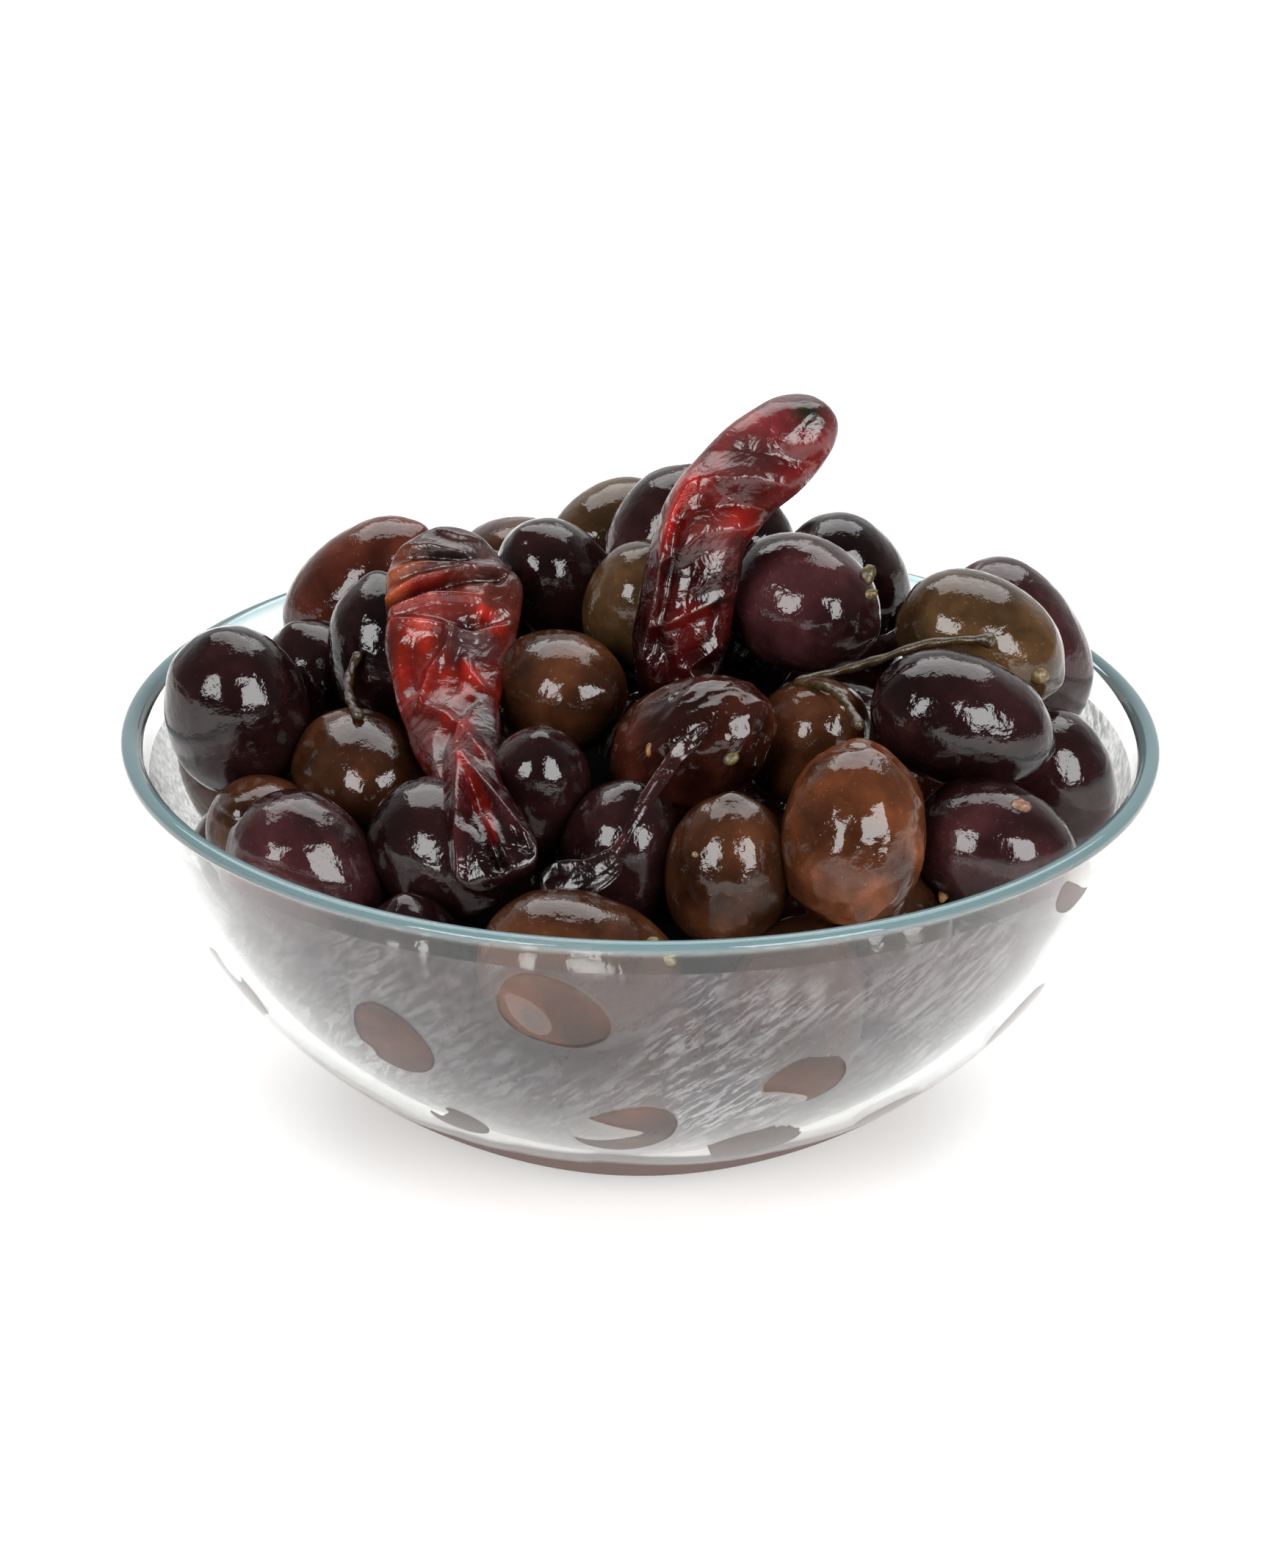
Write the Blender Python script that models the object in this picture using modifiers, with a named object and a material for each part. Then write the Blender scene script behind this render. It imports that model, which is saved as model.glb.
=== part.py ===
"""Dish of olives: a round glass bowl heaped with ripe table olives, two dried chili pods and two stems.

Metres, +Z up. The origin is the middle of the bowl's foot, and the photo was taken from -Y.
Sizes below are in millimetres and are turned into metres where a mesh is made.
"""
import math

import bmesh
import bpy
import numpy as np
from mathutils import Matrix, Vector

MM = 0.001

# The bowl: its outer side is one sweep from the foot to the rim
RIM_RADIUS = 70.0
HEIGHT = 56.2
FOOT_RADIUS = 25.3
FLARE = (47.7, 10.9)
SHOULDER = (65.3, 27.8)
WALL = 2.6
FLOOR = 5.2
FLOOR_SLOPE = 6.0
SIDE_START = 0.3
SIDE_POINTS = 13
FINE_POINTS = 60
PLANE_POINTS = 40
LIP_ANGLES = (150, 110, 70, 30)
BOWL_STEPS = 44

# Clearances between solids, so that neighbours never touch
WALL_GAP = 0.6
FLOOR_GAP = 0.35
PIECE_GAP = 0.4

# The heap
HEAP_TOP = 82.0
HEAP_RADIUS = 69.0
DOME_ANGLES = (4, 90, 18)
CORE_INSET = 6.0
CORE_STEPS = 26
CORE_DROP = 8.0
CORE_UNDER = 1.5
CORE_SHOULDER = 6.0
CORE_ANGLES = (80, 70, 60, 50, 40, 30, 20, 10)
CORE_HEIGHTS = (42.0, 31.0, 20.0)
CORE_FOOT = 8.0
CORE_FOOT_INSET = 2.0
CANOPY_BEND = 0.06
FREE_OLIVES = 84
FREE_LENGTH = (20.0, 25.0)
FREE_WIDTH = (15.5, 18.0)
END_SHARE = 0.4
OLIVE_BLUNT = 0.07
WALL_PRESS = 1.6
SHOWN_SIDES = (11, 8)
OTHER_SIDES = (9, 6)
SHOW_GAP = 1.5
SHOW_HEIGHT = 24.0
SHOW_DROP = 4.0

# How the olives settle: a seeded draw, then rounds in which they grow and push one another apart
SEED = 7
PLACE_TRIES = 160
ROUNDS = 420
START_SCALE = 0.55
GROWN_BY = 0.6
PUSH_SHARE = 0.45
HELD_GIVE = 0.12
HELD_PULL = 0.15
SETTLE_DROP = 0.05
MOST_OVERLAP = 2.2
LID_REACH = 8.0
LID_DEPTH = 9.0
LID_WEIGHT = 0.25
LID_STEP = 2.0
NO_LID = 999.0
FAR_OFF = 1e9
NEAR_ZERO = 1e-9

# Olives that the photo shows, placed by hand:
# name, middle x y z, turn of the long axis seen from the front, lean towards the front, length, width
SHOWN = (
    ("A", -39.5, 27.0, 63.5, 48, 0, 26.0, 17.0),
    ("B", -53.5, -10.0, 61.0, 100, 10, 24.0, 19.5),
    ("C", -44.0, 12.0, 55.5, 90, 20, 20.0, 16.0),
    ("D", -34.5, 4.0, 63.5, 75, 10, 22.0, 16.5),
    ("E", -37.0, -17.0, 54.0, 5, 20, 21.0, 17.0),
    ("F", -48.0, -22.0, 48.0, 30, 30, 19.0, 15.5),
    ("G", -42.5, -36.0, 50.0, -20, 20, 22.0, 17.5),
    ("H", -24.0, -36.0, 54.5, 20, 30, 21.0, 17.0),
    ("I", -27.8, -47.9, 40.7, 92, 15, 22.5, 15.5),
    ("J", -11.5, 14.0, 70.5, 120, 20, 20.0, 15.5),
    ("K", -11.0, -8.0, 63.0, 20, 40, 20.0, 17.0),
    ("L", -13.0, -30.0, 58.5, 95, 10, 18.0, 14.0),
    ("M", -4.0, 34.0, 69.5, 30, 20, 20.0, 16.0),
    ("N", 4.0, 22.0, 73.5, 60, 30, 22.0, 17.0),
    ("O", 0.0, 5.0, 70.5, 80, 20, 20.0, 16.5),
    ("P", 13.0, 30.0, 67.5, 60, 30, 20.0, 15.5),
    ("Q", 21.5, 0.0, 73.0, -10, 30, 22.0, 18.0),
    ("R", 29.0, 26.0, 67.0, -30, 0, 21.0, 15.5),
    ("S", 52.0, 14.0, 62.0, -55, 0, 27.0, 17.5),
    ("T", 45.0, -5.0, 70.0, -25, 10, 23.5, 17.5),
    ("U", 41.5, -24.0, 66.5, -20, 0, 24.5, 17.0),
    ("V", 55.0, -14.0, 54.0, -65, 10, 20.0, 15.5),
    ("W", 45.5, -34.0, 53.0, -30, 20, 22.0, 17.5),
    ("X", 26.5, -42.0, 58.5, 82, -10, 23.5, 18.5),
    ("Y", 7.0, -24.0, 62.5, 18, 0, 25.0, 17.5),
    ("Z", 22.0, -18.0, 61.0, 60, 20, 19.0, 15.5),
    ("AA", 11.0, -42.0, 53.5, 95, -10, 20.0, 16.0),
    ("BB", -7.0, -55.8, 46.1, 2, 0, 26.5, 18.5),
    ("CC", 19.5, -48.0, 37.5, 88, -20, 23.0, 17.5),
    ("DD", -2.0, -36.0, 53.0, 70, 10, 20.0, 16.0),
    ("G1", 0.0, -48.4, 28.4, 0, 0, 23.0, 16.0),
    ("G2", -44.0, -28.0, 36.0, 60, 0, 22.0, 16.0),
    ("G3", 32.0, -37.0, 41.0, 80, 0, 20.0, 16.0),
    ("G4", 42.0, -27.0, 32.0, 40, 0, 22.0, 16.0),
    ("G5", 26.5, -31.5, 23.0, 10, 0, 21.0, 16.0),
    ("G6", -19.0, -38.5, 27.0, 30, 0, 21.0, 16.0),
    ("U1", 12.5, 12.5, 61.0, 40, 10, 20.0, 16.0),
)
TOP_COUNT = 30

# The chili pods: middle line from the stem end to the tip, half widths across and half depths
FRONT = Vector((0.0, -0.915, 0.4035))
LEFT_POD = (
    ((-24.5, 6.0, 81.0), 6.0, 3.0),
    ((-25.5, 3.0, 76.5), 9.2, 3.6),
    ((-25.2, -2.0, 72.0), 9.0, 3.8),
    ((-25.8, -8.0, 67.5), 8.0, 3.6),
    ((-25.0, -15.0, 63.6), 6.6, 3.3),
    ((-23.3, -25.0, 61.9), 5.6, 3.0),
    ((-21.2, -36.0, 61.2), 4.2, 3.0),
    ((-19.0, -44.0, 59.0), 5.2, 3.0),
    ((-16.6, -51.0, 55.5), 7.0, 2.8),
)
RIGHT_POD = (
    ((3.4, -9.5, 60.0), 4.2, 4.0),
    ((4.2, -9.0, 64.5), 5.4, 4.8),
    ((5.2, -7.5, 70.7), 6.3, 5.0),
    ((6.4, -6.0, 78.0), 6.3, 5.0),
    ((8.2, -4.0, 85.1), 6.1, 4.8),
    ((12.8, -1.0, 90.8), 6.2, 4.6),
    ((19.0, 2.0, 95.5), 6.0, 4.4),
    ((23.6, 4.0, 100.2), 4.4, 3.6),
)
POD_SIDES = (16, 15)
POD_END_POWER = 6.0
LEFT_FOLD = 0.06
RIGHT_FOLD = 0.04
FOLD_COUNT = 4.5
FOLD_SKEW = 1.2
AHEAD_STEP = 0.03

# The stems: points along the middle
LEFT_STEM = ((-37.6, -4.5, 67.3), (-38.9, -6.0, 64.0), (-38.2, -13.0, 63.6), (-36.6, -18.0, 63.4))
RIGHT_STEM = ((19.8, -18.0, 69.2), (25.2, -15.0, 69.4), (30.5, -14.5, 70.9), (36.7, -14.5, 73.2),
              (42.8, -15.5, 74.4), (46.0, -16.0, 74.4))
STEM_RADIUS = 0.6
STEM_PIECES = 12

# In metres: points closer than this are one point
MERGE = 0.00001


def empty_scene():
    """Takes out whatever the scene holds at the start."""
    for item in list(bpy.data.objects):
        bpy.data.objects.remove(item, do_unlink=True)


def collection(name):
    """A new collection in the scene."""
    group = bpy.data.collections.new(name)
    bpy.context.scene.collection.children.link(group)
    return group


def material(name, colour, roughness, transmission=0.0):
    """A Principled material with the sub-part's own colour."""
    made = bpy.data.materials.new(name)
    made.use_nodes = True
    node = made.node_tree.nodes["Principled BSDF"]
    node.inputs["Base Color"].default_value = (*colour, 1.0)
    node.inputs["Roughness"].default_value = roughness
    node.inputs["Metallic"].default_value = 0.0
    node.inputs["Transmission Weight"].default_value = transmission
    return made


def mesh_object(name, mesh, group, look=None):
    """An object for a finished mesh, in its collection."""
    made = bpy.data.objects.new(name, mesh)
    group.objects.link(made)
    if look:
        mesh.materials.append(look)
    return made


def sweep_curve(count):
    """Points and directions of the bowl's outer side, from the foot to the rim."""
    t = np.linspace(0.0, 1.0, count)[:, None]
    a, b, c, d = (np.array(p) for p in ((FOOT_RADIUS, 0.0), FLARE, SHOULDER, (RIM_RADIUS, HEIGHT)))
    points = (1 - t)**3*a + 3*(1 - t)**2*t*b + 3*(1 - t)*t**2*c + t**3*d
    along = 3*(1 - t)**2*(b - a) + 6*(1 - t)*t*(c - b) + 3*t**2*(d - c)
    return points, along/np.linalg.norm(along, axis=1)[:, None]


def inner_curve(count):
    """Points of the bowl's inner side, from the floor to the rim."""
    points, along = sweep_curve(count)
    inside = points + WALL*np.stack([-along[:, 1], along[:, 0]], 1)
    return inside[inside[:, 1] > FLOOR + SIDE_START]


def inner_radius(height):
    """The bowl's inner radius at a height above its foot."""
    side = inner_curve(FINE_POINTS)
    return float(np.interp(height, side[:, 1], side[:, 0]))


def floor_height(radius):
    """Height of the bowl's floor, with the slope where it runs into the side."""
    edge, rise = inner_curve(SIDE_POINTS)[0]
    return FLOOR + max(0.0, radius - (edge - FLOOR_SLOPE))/FLOOR_SLOPE*(rise - FLOOR)


def turned(name, profile, steps, group, look=None):
    """A solid turned about Z from a profile that starts and ends on the axis, top to bottom."""
    mesh = bpy.data.meshes.new(name)
    shape = bmesh.new()
    last = None
    for radius, height in profile:
        vert = shape.verts.new((radius*MM, 0.0, height*MM))
        if last:
            shape.edges.new((last, vert))
        last = vert
    shape.to_mesh(mesh)
    shape.free()
    made = mesh_object(name, mesh, group, look)
    screw = made.modifiers.new("Screw", "SCREW")
    screw.axis = "Z"
    screw.steps = steps
    screw.render_steps = steps
    screw.use_merge_vertices = True
    screw.merge_threshold = MERGE
    screw.use_normal_calculate = True
    return made


def make_bowl(group):
    """The glass bowl with its rounded lip and thick floor."""
    outside, _ = sweep_curve(SIDE_POINTS)
    inside = inner_curve(SIDE_POINTS)[:-1]
    middle = RIM_RADIUS - WALL/2
    lip = []
    for angle in LIP_ANGLES:
        turn = math.radians(angle)
        lip.append((middle + WALL/2*math.cos(turn), HEIGHT - WALL/2 + WALL/2*math.sin(turn)))
    side = [tuple(p) for p in outside[:-1]]
    profile = [(0.0, FLOOR), (inside[0][0] - FLOOR_SLOPE, FLOOR)]
    profile += [tuple(p) for p in inside]
    profile += lip
    profile += side[::-1]
    profile.append((0.0, 0.0))
    glass = material("bowl_glass", (0.80, 0.93, 0.92), 0.03, 1.0)
    return turned("bowl", profile, BOWL_STEPS, group, glass)


def heap_axis(turn, lean):
    """Direction of an olive's long axis."""
    t, l = np.radians(turn), np.radians(lean)
    return np.stack([np.cos(t)*np.cos(l), -np.sin(l), np.sin(t)*np.cos(l)], -1)


def half_planes():
    """The bowl's inside and the heap's domed top as half planes of radius and height."""
    side = inner_curve(PLANE_POINTS)
    along = np.diff(side, axis=0)
    along /= np.linalg.norm(along, axis=1)[:, None]
    wall_at = np.vstack([side[:-1], [[0.0, FLOOR]]])
    wall_in = np.vstack([np.stack([-along[:, 1], along[:, 0]], 1), [[0.0, 1.0]]])
    rise = HEAP_TOP - HEIGHT
    angle = np.radians(np.linspace(*DOME_ANGLES))
    top_at = np.stack([HEAP_RADIUS*np.cos(angle), HEIGHT + rise*np.sin(angle)], 1)
    top_in = -np.stack([np.cos(angle)/HEAP_RADIUS, np.sin(angle)/rise], 1)
    top_in /= np.linalg.norm(top_in, axis=1)[:, None]
    return (wall_at, wall_in), (top_at, top_in)


def push_inside(balls, radius, planes, moves, sink=0.0):
    """How far each ball has to move in radius and height to sink no deeper into the planes."""
    at, inward = planes
    place = np.stack([np.hypot(balls[:, 0], balls[:, 1]), balls[:, 2]], 1)
    gap = ((place[:, None, :] - at)*inward).sum(-1) - radius[:, None] + sink
    nearest = gap.argmin(1)
    short = np.minimum(gap[np.arange(len(balls)), nearest], 0.0)*moves
    return -short[:, None]*inward[nearest]


def lid_height(points, seen):
    """Height that hidden olives stay under, so that the shown ones stay on top."""
    apart = ((points[:, None, :2] - seen[None, :, :2])**2).sum(-1)
    weight = np.exp(-apart/(2*LID_REACH**2))
    total = weight.sum(1)
    level = (weight*seen[:, 2]).sum(1)/np.maximum(total, NEAR_ZERO) - LID_DEPTH
    return np.where(total > LID_WEIGHT, level, NO_LID)


def pod_balls():
    """The chili pods as rows of balls, which olives make way for."""
    return [(*at, deep) for pod in (LEFT_POD, RIGHT_POD) for at, wide, deep in pod]


def roomiest(chance, placed, seen):
    """The place with most room among random ones inside the heap and under the shown olives."""
    spread = (chance.random((PLACE_TRIES, 3)) - (0.5, 0.5, 0.0))*(2*RIM_RADIUS, 2*RIM_RADIUS, HEAP_TOP)
    (wall_at, wall_in), (top_at, top_in) = half_planes()
    place = np.stack([np.hypot(spread[:, 0], spread[:, 1]), spread[:, 2]], 1)
    room = np.minimum(((place[:, None, :] - wall_at)*wall_in).sum(-1).min(1),
                      ((place[:, None, :] - top_at)*top_in).sum(-1).min(1))
    room = np.minimum(room, lid_height(spread, seen) - spread[:, 2])
    near = np.linalg.norm(spread[:, None, :] - placed[None, :, :], axis=-1).min(1)
    score = np.minimum(near/2, room)
    return spread[score.argmax()]


def settle():
    """Lets the olives push one another apart in the bowl. The shown ones stay near their places."""
    chance = np.random.default_rng(SEED)
    held = np.array([row[1:] for row in SHOWN], float)
    shown = len(held)
    count = shown + FREE_OLIVES
    is_free = np.arange(count) >= shown
    middle = np.zeros((count, 3))
    axis = np.zeros((count, 3))
    size = np.zeros((count, 2))
    middle[:shown] = held[:, :3]
    axis[:shown] = heap_axis(held[:, 3], held[:, 4])
    size[:shown] = held[:, 5:7]
    way = chance.normal(size=(FREE_OLIVES, 3))
    axis[shown:] = way/np.linalg.norm(way, axis=1)[:, None]
    size[shown:, 0] = chance.uniform(*FREE_LENGTH, FREE_OLIVES)
    size[shown:, 1] = chance.uniform(*FREE_WIDTH, FREE_OLIVES)
    seen = held[:TOP_COUNT, :3]
    for index in range(shown, count):
        middle[index] = roomiest(chance, middle[:index], seen)
    home = middle.copy()
    wall, top = half_planes()
    fixed = np.array(pod_balls(), float)
    owner = np.concatenate([np.repeat(np.arange(count), 3), -np.ones(len(fixed), int)])
    loose = np.where(is_free, 1.0, HELD_GIVE)
    give = np.concatenate([np.repeat(loose, 3), np.zeros(len(fixed))])
    share = give[:, None]/np.maximum(give[:, None] + give[None, :], NEAR_ZERO)
    same = owner[:, None] == owner[None, :]
    ball_free = np.repeat(is_free, 3)
    for step in range(ROUNDS):
        grown = min(1.0, START_SCALE + (1.0 - START_SCALE)*step/(GROWN_BY*ROUNDS))
        scale = np.where(is_free, grown, 1.0)
        long, wide = size[:, 0]*scale, size[:, 1]*scale
        reach = long/2 - END_SHARE*wide
        row = np.stack([-reach, 0*reach, reach], 1)[:, :, None]*axis[:, None, :]
        radii = np.stack([END_SHARE*wide, wide/2, END_SHARE*wide], 1).ravel()
        balls = np.vstack([(middle[:, None, :] + row).reshape(-1, 3), fixed[:, :3]])
        every = np.concatenate([radii, fixed[:, 3]])
        apart = balls[:, None, :] - balls[None, :, :]
        distance = np.sqrt((apart**2).sum(-1)) + NEAR_ZERO
        over = every[:, None] + every[None, :] - distance
        over[same] = 0.0
        over = np.maximum(over, 0.0)
        push = ((over*share/distance)[:, :, None]*apart).sum(1)[:3*count]
        balls = balls[:3*count] + PUSH_SHARE*push
        move = push_inside(balls, radii, wall, 1.0, WALL_PRESS)
        move += push_inside(balls, radii, top, ball_free)
        out = np.hypot(balls[:, 0], balls[:, 1]) + NEAR_ZERO
        balls[:, :2] *= (1.0 + move[:, 0]/out)[:, None]
        balls[:, 2] += move[:, 1]
        down = np.maximum(balls[:, 2] - lid_height(balls, seen), 0.0)*ball_free
        balls[:, 2] -= np.minimum(down/2, LID_STEP)
        balls = balls.reshape(count, 3, 3)
        middle = balls.mean(1)
        axis = balls[:, 2] - balls[:, 0]
        axis /= np.linalg.norm(axis, axis=1)[:, None]
        middle[:shown] += HELD_PULL*(home[:shown] - middle[:shown])
        middle[shown:, 2] -= SETTLE_DROP
    worst = np.zeros(count)
    np.maximum.at(worst, owner[:3*count], over[:3*count].max(1))
    keep = ~is_free | (worst < MOST_OVERLAP)
    return middle[keep], axis[keep], size[keep]


def canopy(points, middle, bend):
    """Height of a canopy draped over the olives' middles, at each point."""
    apart = ((points[:, None, :2] - middle[None, :, :2])**2).sum(-1)
    return (middle[:, 2] - bend*apart).max(1)


def does_show(middle, size):
    """True where an olive lies uppermost, or against the glass above its foot."""
    (wall_at, wall_in), _ = half_planes()
    place = np.stack([np.hypot(middle[:, 0], middle[:, 1]), middle[:, 2]], 1)
    gap = ((place[:, None, :] - wall_at)*wall_in).sum(-1).min(1) - size[:, 1]/2
    at_glass = (gap < SHOW_GAP) & (middle[:, 2] > SHOW_HEIGHT)
    return at_glass | (middle[:, 2] > canopy(middle, middle, CANOPY_BEND) - SHOW_DROP)


def olive(name, middle, axis, size, sides, group):
    """One olive with few sides, a little blunter at one end, pressed flat where it meets the glass."""
    mesh = bpy.data.meshes.new(name)
    shape = bmesh.new()
    bmesh.ops.create_uvsphere(shape, u_segments=sides[0], v_segments=sides[1], radius=1.0)
    turn = Vector(axis).to_track_quat("Z", "Y").to_matrix().to_4x4()
    stretch = Matrix.Diagonal((size[1]/2, size[1]/2, size[0]/2, 1.0))
    place = Matrix.Translation(Vector(middle)) @ turn @ stretch
    for vert in shape.verts:
        blunt = 1.0 - OLIVE_BLUNT*vert.co.z
        vert.co.x *= blunt
        vert.co.y *= blunt
        spot = place @ vert.co
        limit = inner_radius(spot.z) - WALL_GAP if spot.z < HEIGHT else FAR_OFF
        out = math.hypot(spot.x, spot.y)
        if out > limit:
            spot.x *= limit/out
            spot.y *= limit/out
        spot.z = max(spot.z, floor_height(min(out, limit)) + FLOOR_GAP)
        vert.co = spot*MM
    shape.to_mesh(mesh)
    shape.free()
    return mesh_object(name, mesh, group)


def core_profile():
    """The heap's inside: inset from the glass, domed on top."""
    rise = HEAP_TOP - CORE_DROP - HEIGHT
    shoulder = HEIGHT - CORE_SHOULDER
    widest = inner_radius(shoulder) - CORE_INSET
    points = [(0.0, HEAP_TOP - CORE_DROP)]
    for angle in CORE_ANGLES:
        turn = math.radians(angle)
        points.append((widest*math.cos(turn), shoulder + (rise + CORE_SHOULDER)*math.sin(turn)))
    for height in CORE_HEIGHTS:
        points.append((inner_radius(height) - CORE_INSET, height))
    points.append((inner_radius(CORE_FOOT) - CORE_INSET - CORE_FOOT_INSET, FLOOR + FLOOR_GAP))
    points.append((0.0, FLOOR + FLOOR_GAP))
    return points


def apply_all(thing):
    """Turns an object's modifiers into its mesh."""
    graph = bpy.context.evaluated_depsgraph_get()
    mesh = bpy.data.meshes.new_from_object(thing.evaluated_get(graph))
    thing.modifiers.clear()
    thing.data = mesh


def lower_core(core, middle):
    """Lowers the core's top under the olives that lie uppermost, so that each stands out of it."""
    for vert in core.data.vertices:
        at = np.array(vert.co)/MM
        if at[2] > HEIGHT/2:
            level = canopy(at[None, :], middle, CANOPY_BEND)[0] - CORE_UNDER
            vert.co.z = min(at[2], level)*MM


def keep_largest(thing):
    """Drops loose scraps and fills sealed hollows: only the outer body's faces stay."""
    shape = bmesh.new()
    shape.from_mesh(thing.data)
    bmesh.ops.remove_doubles(shape, verts=shape.verts, dist=2*MERGE)
    bmesh.ops.dissolve_degenerate(shape, edges=shape.edges, dist=MERGE)
    waiting = set(shape.verts)
    bodies = []
    while waiting:
        body = set()
        front = [waiting.pop()]
        while front:
            vert = front.pop()
            body.add(vert)
            for edge in vert.link_edges:
                other = edge.other_vert(vert)
                if other in waiting:
                    waiting.remove(other)
                    front.append(other)
        bodies.append(body)
    largest = max(bodies, key=len)
    spare = [vert for vert in shape.verts if vert not in largest]
    bmesh.ops.delete(shape, geom=spare, context="VERTS")
    bmesh.ops.triangulate(shape, faces=shape.faces)
    shape.to_mesh(thing.data)
    shape.free()


def boolean(thing, other, operation, solver):
    """One Boolean with an object or a whole collection, applied."""
    cut = thing.modifiers.new("Boolean", "BOOLEAN")
    cut.operation = operation
    cut.solver = solver
    if isinstance(other, bpy.types.Collection):
        cut.operand_type = "COLLECTION"
        cut.collection = other
    else:
        cut.object = other
    apply_all(thing)


def make_heap(group, cutters):
    """The olives as one solid: a core with the olives that show fused on."""
    middle, axis, size = settle()
    seen = does_show(middle, size)
    fused = collection("fused_olives")
    for index in range(len(middle)):
        if seen[index]:
            sides = SHOWN_SIDES if index < TOP_COUNT else OTHER_SIDES
            olive(f"olive_{index}", middle[index], axis[index], size[index], sides, fused)
    skin = material("olive_skin", (0.045, 0.022, 0.024), 0.35)
    heap = turned("olives", core_profile(), CORE_STEPS, group, skin)
    apply_all(heap)
    lower_core(heap, middle)
    boolean(heap, fused, "UNION", "MANIFOLD")
    for item in list(fused.objects):
        bpy.data.objects.remove(item, do_unlink=True)
    bpy.data.collections.remove(fused)
    keep_largest(heap)
    for cutter in cutters.objects:
        boolean(heap, cutter, "DIFFERENCE", "EXACT")
    keep_largest(heap)
    return heap


def smooth_along(rows, t):
    """A smooth value at t from 0 to 1 along rows of numbers (Catmull-Rom)."""
    spot = min(max(t, 0.0), 1.0)*(len(rows) - 1)
    index = min(int(spot), len(rows) - 2)
    part = spot - index
    before = rows[max(index - 1, 0)]
    start, end = rows[index], rows[index + 1]
    after = rows[min(index + 2, len(rows) - 1)]
    a = 2*start
    b = (end - before)*part
    c = (2*before - 5*start + 4*end - after)*part**2
    d = (3*start - before - 3*end + after)*part**3
    return (a + b + c + d)/2


def pod(name, rows, fold, grow, group, look=None):
    """A dried chili pod: a ball drawn out along a middle line, flat to the front and creased."""
    line = [np.array(at) for at, wide, deep in rows]
    widths = [np.array([wide, deep]) for at, wide, deep in rows]
    mesh = bpy.data.meshes.new(name)
    shape = bmesh.new()
    bmesh.ops.create_uvsphere(shape, u_segments=POD_SIDES[0], v_segments=POD_SIDES[1], radius=1.0)
    for vert in shape.verts:
        t = math.acos(max(-1.0, min(1.0, -vert.co.z)))/math.pi
        round_out = math.sqrt(max(0.0, 1.0 - abs(2*t - 1)**POD_END_POWER))
        angle = math.atan2(vert.co.y, vert.co.x)
        at = Vector(smooth_along(line, t))
        ahead = Vector(smooth_along(line, t + AHEAD_STEP)) - Vector(smooth_along(line, t - AHEAD_STEP))
        side = FRONT.cross(ahead).normalized()
        front = ahead.cross(side).normalized()
        wide, deep = smooth_along(widths, t)
        crease = 1.0 + fold*math.sin(2*math.pi*FOLD_COUNT*t + FOLD_SKEW*math.sin(angle))
        step_out = at - Vector(smooth_along(line, 0.5))
        reach = side*(wide*math.cos(angle)) + front*(deep*math.sin(angle))
        spot = at + reach*(crease*round_out)
        if grow:
            spot += reach.normalized()*(grow*round_out) + step_out.normalized()*(grow*(1.0 - round_out))
        vert.co = spot*MM
    shape.to_mesh(mesh)
    shape.free()
    return mesh_object(name, mesh, group, look)


def stem(name, points, radius, group, look=None):
    """A thin stem: a curve with a round section, made a mesh with closed ends."""
    curve = bpy.data.curves.new(name, "CURVE")
    curve.dimensions = "3D"
    curve.bevel_depth = radius*MM
    curve.bevel_resolution = 1
    curve.use_fill_caps = True
    line = curve.splines.new("POLY")
    rows = [np.array(p) for p in points]
    path = [smooth_along(rows, k/STEM_PIECES) for k in range(STEM_PIECES + 1)]
    line.points.add(len(path) - 1)
    for point, at in zip(line.points, path):
        point.co = (*(at*MM), 1.0)
    drawn = bpy.data.objects.new(name + "_line", curve)
    group.objects.link(drawn)
    graph = bpy.context.evaluated_depsgraph_get()
    mesh = bpy.data.meshes.new_from_object(drawn.evaluated_get(graph))
    bpy.data.objects.remove(drawn, do_unlink=True)
    shape = bmesh.new()
    shape.from_mesh(mesh)
    bmesh.ops.remove_doubles(shape, verts=shape.verts, dist=MERGE)
    bmesh.ops.recalc_face_normals(shape, faces=shape.faces)
    shape.to_mesh(mesh)
    shape.free()
    return mesh_object(name, mesh, group, look)


def hide(cutters):
    """Cutters don't render and show as wire."""
    for item in cutters.objects:
        item.hide_render = True
        item.display_type = "WIRE"


def main():
    """Builds the dish."""
    empty_scene()
    parts = collection("dish_of_olives")
    cutters = collection("cutters")
    make_bowl(parts)
    chili = material("chili_skin", (0.16, 0.012, 0.008), 0.3)
    woody = material("stem_wood", (0.14, 0.085, 0.04), 0.6)
    pod("chili_left", LEFT_POD, LEFT_FOLD, 0.0, parts, chili)
    pod("chili_right", RIGHT_POD, RIGHT_FOLD, 0.0, parts, chili)
    stem("stem_left", LEFT_STEM, STEM_RADIUS, parts, woody)
    stem("stem_right", RIGHT_STEM, STEM_RADIUS, parts, woody)
    pod("left_room", LEFT_POD, LEFT_FOLD, PIECE_GAP, cutters)
    pod("right_room", RIGHT_POD, RIGHT_FOLD, PIECE_GAP, cutters)
    stem("left_stem_room", LEFT_STEM, STEM_RADIUS + PIECE_GAP, cutters)
    stem("right_stem_room", RIGHT_STEM, STEM_RADIUS + PIECE_GAP, cutters)
    make_heap(parts, cutters)
    hide(cutters)


main()
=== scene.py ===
"""Looks of the dish of olives: glass bowl, oiled olives, chili pods, stems, light and camera.

Metres, +Z up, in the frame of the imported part. The photo was taken from -Y.
The heap is in millimetres, as in the part's own source, and is turned into metres where a mesh is made.
"""
import math

import bmesh
import bpy
import numpy as np
from mathutils import Matrix, Vector


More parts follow.
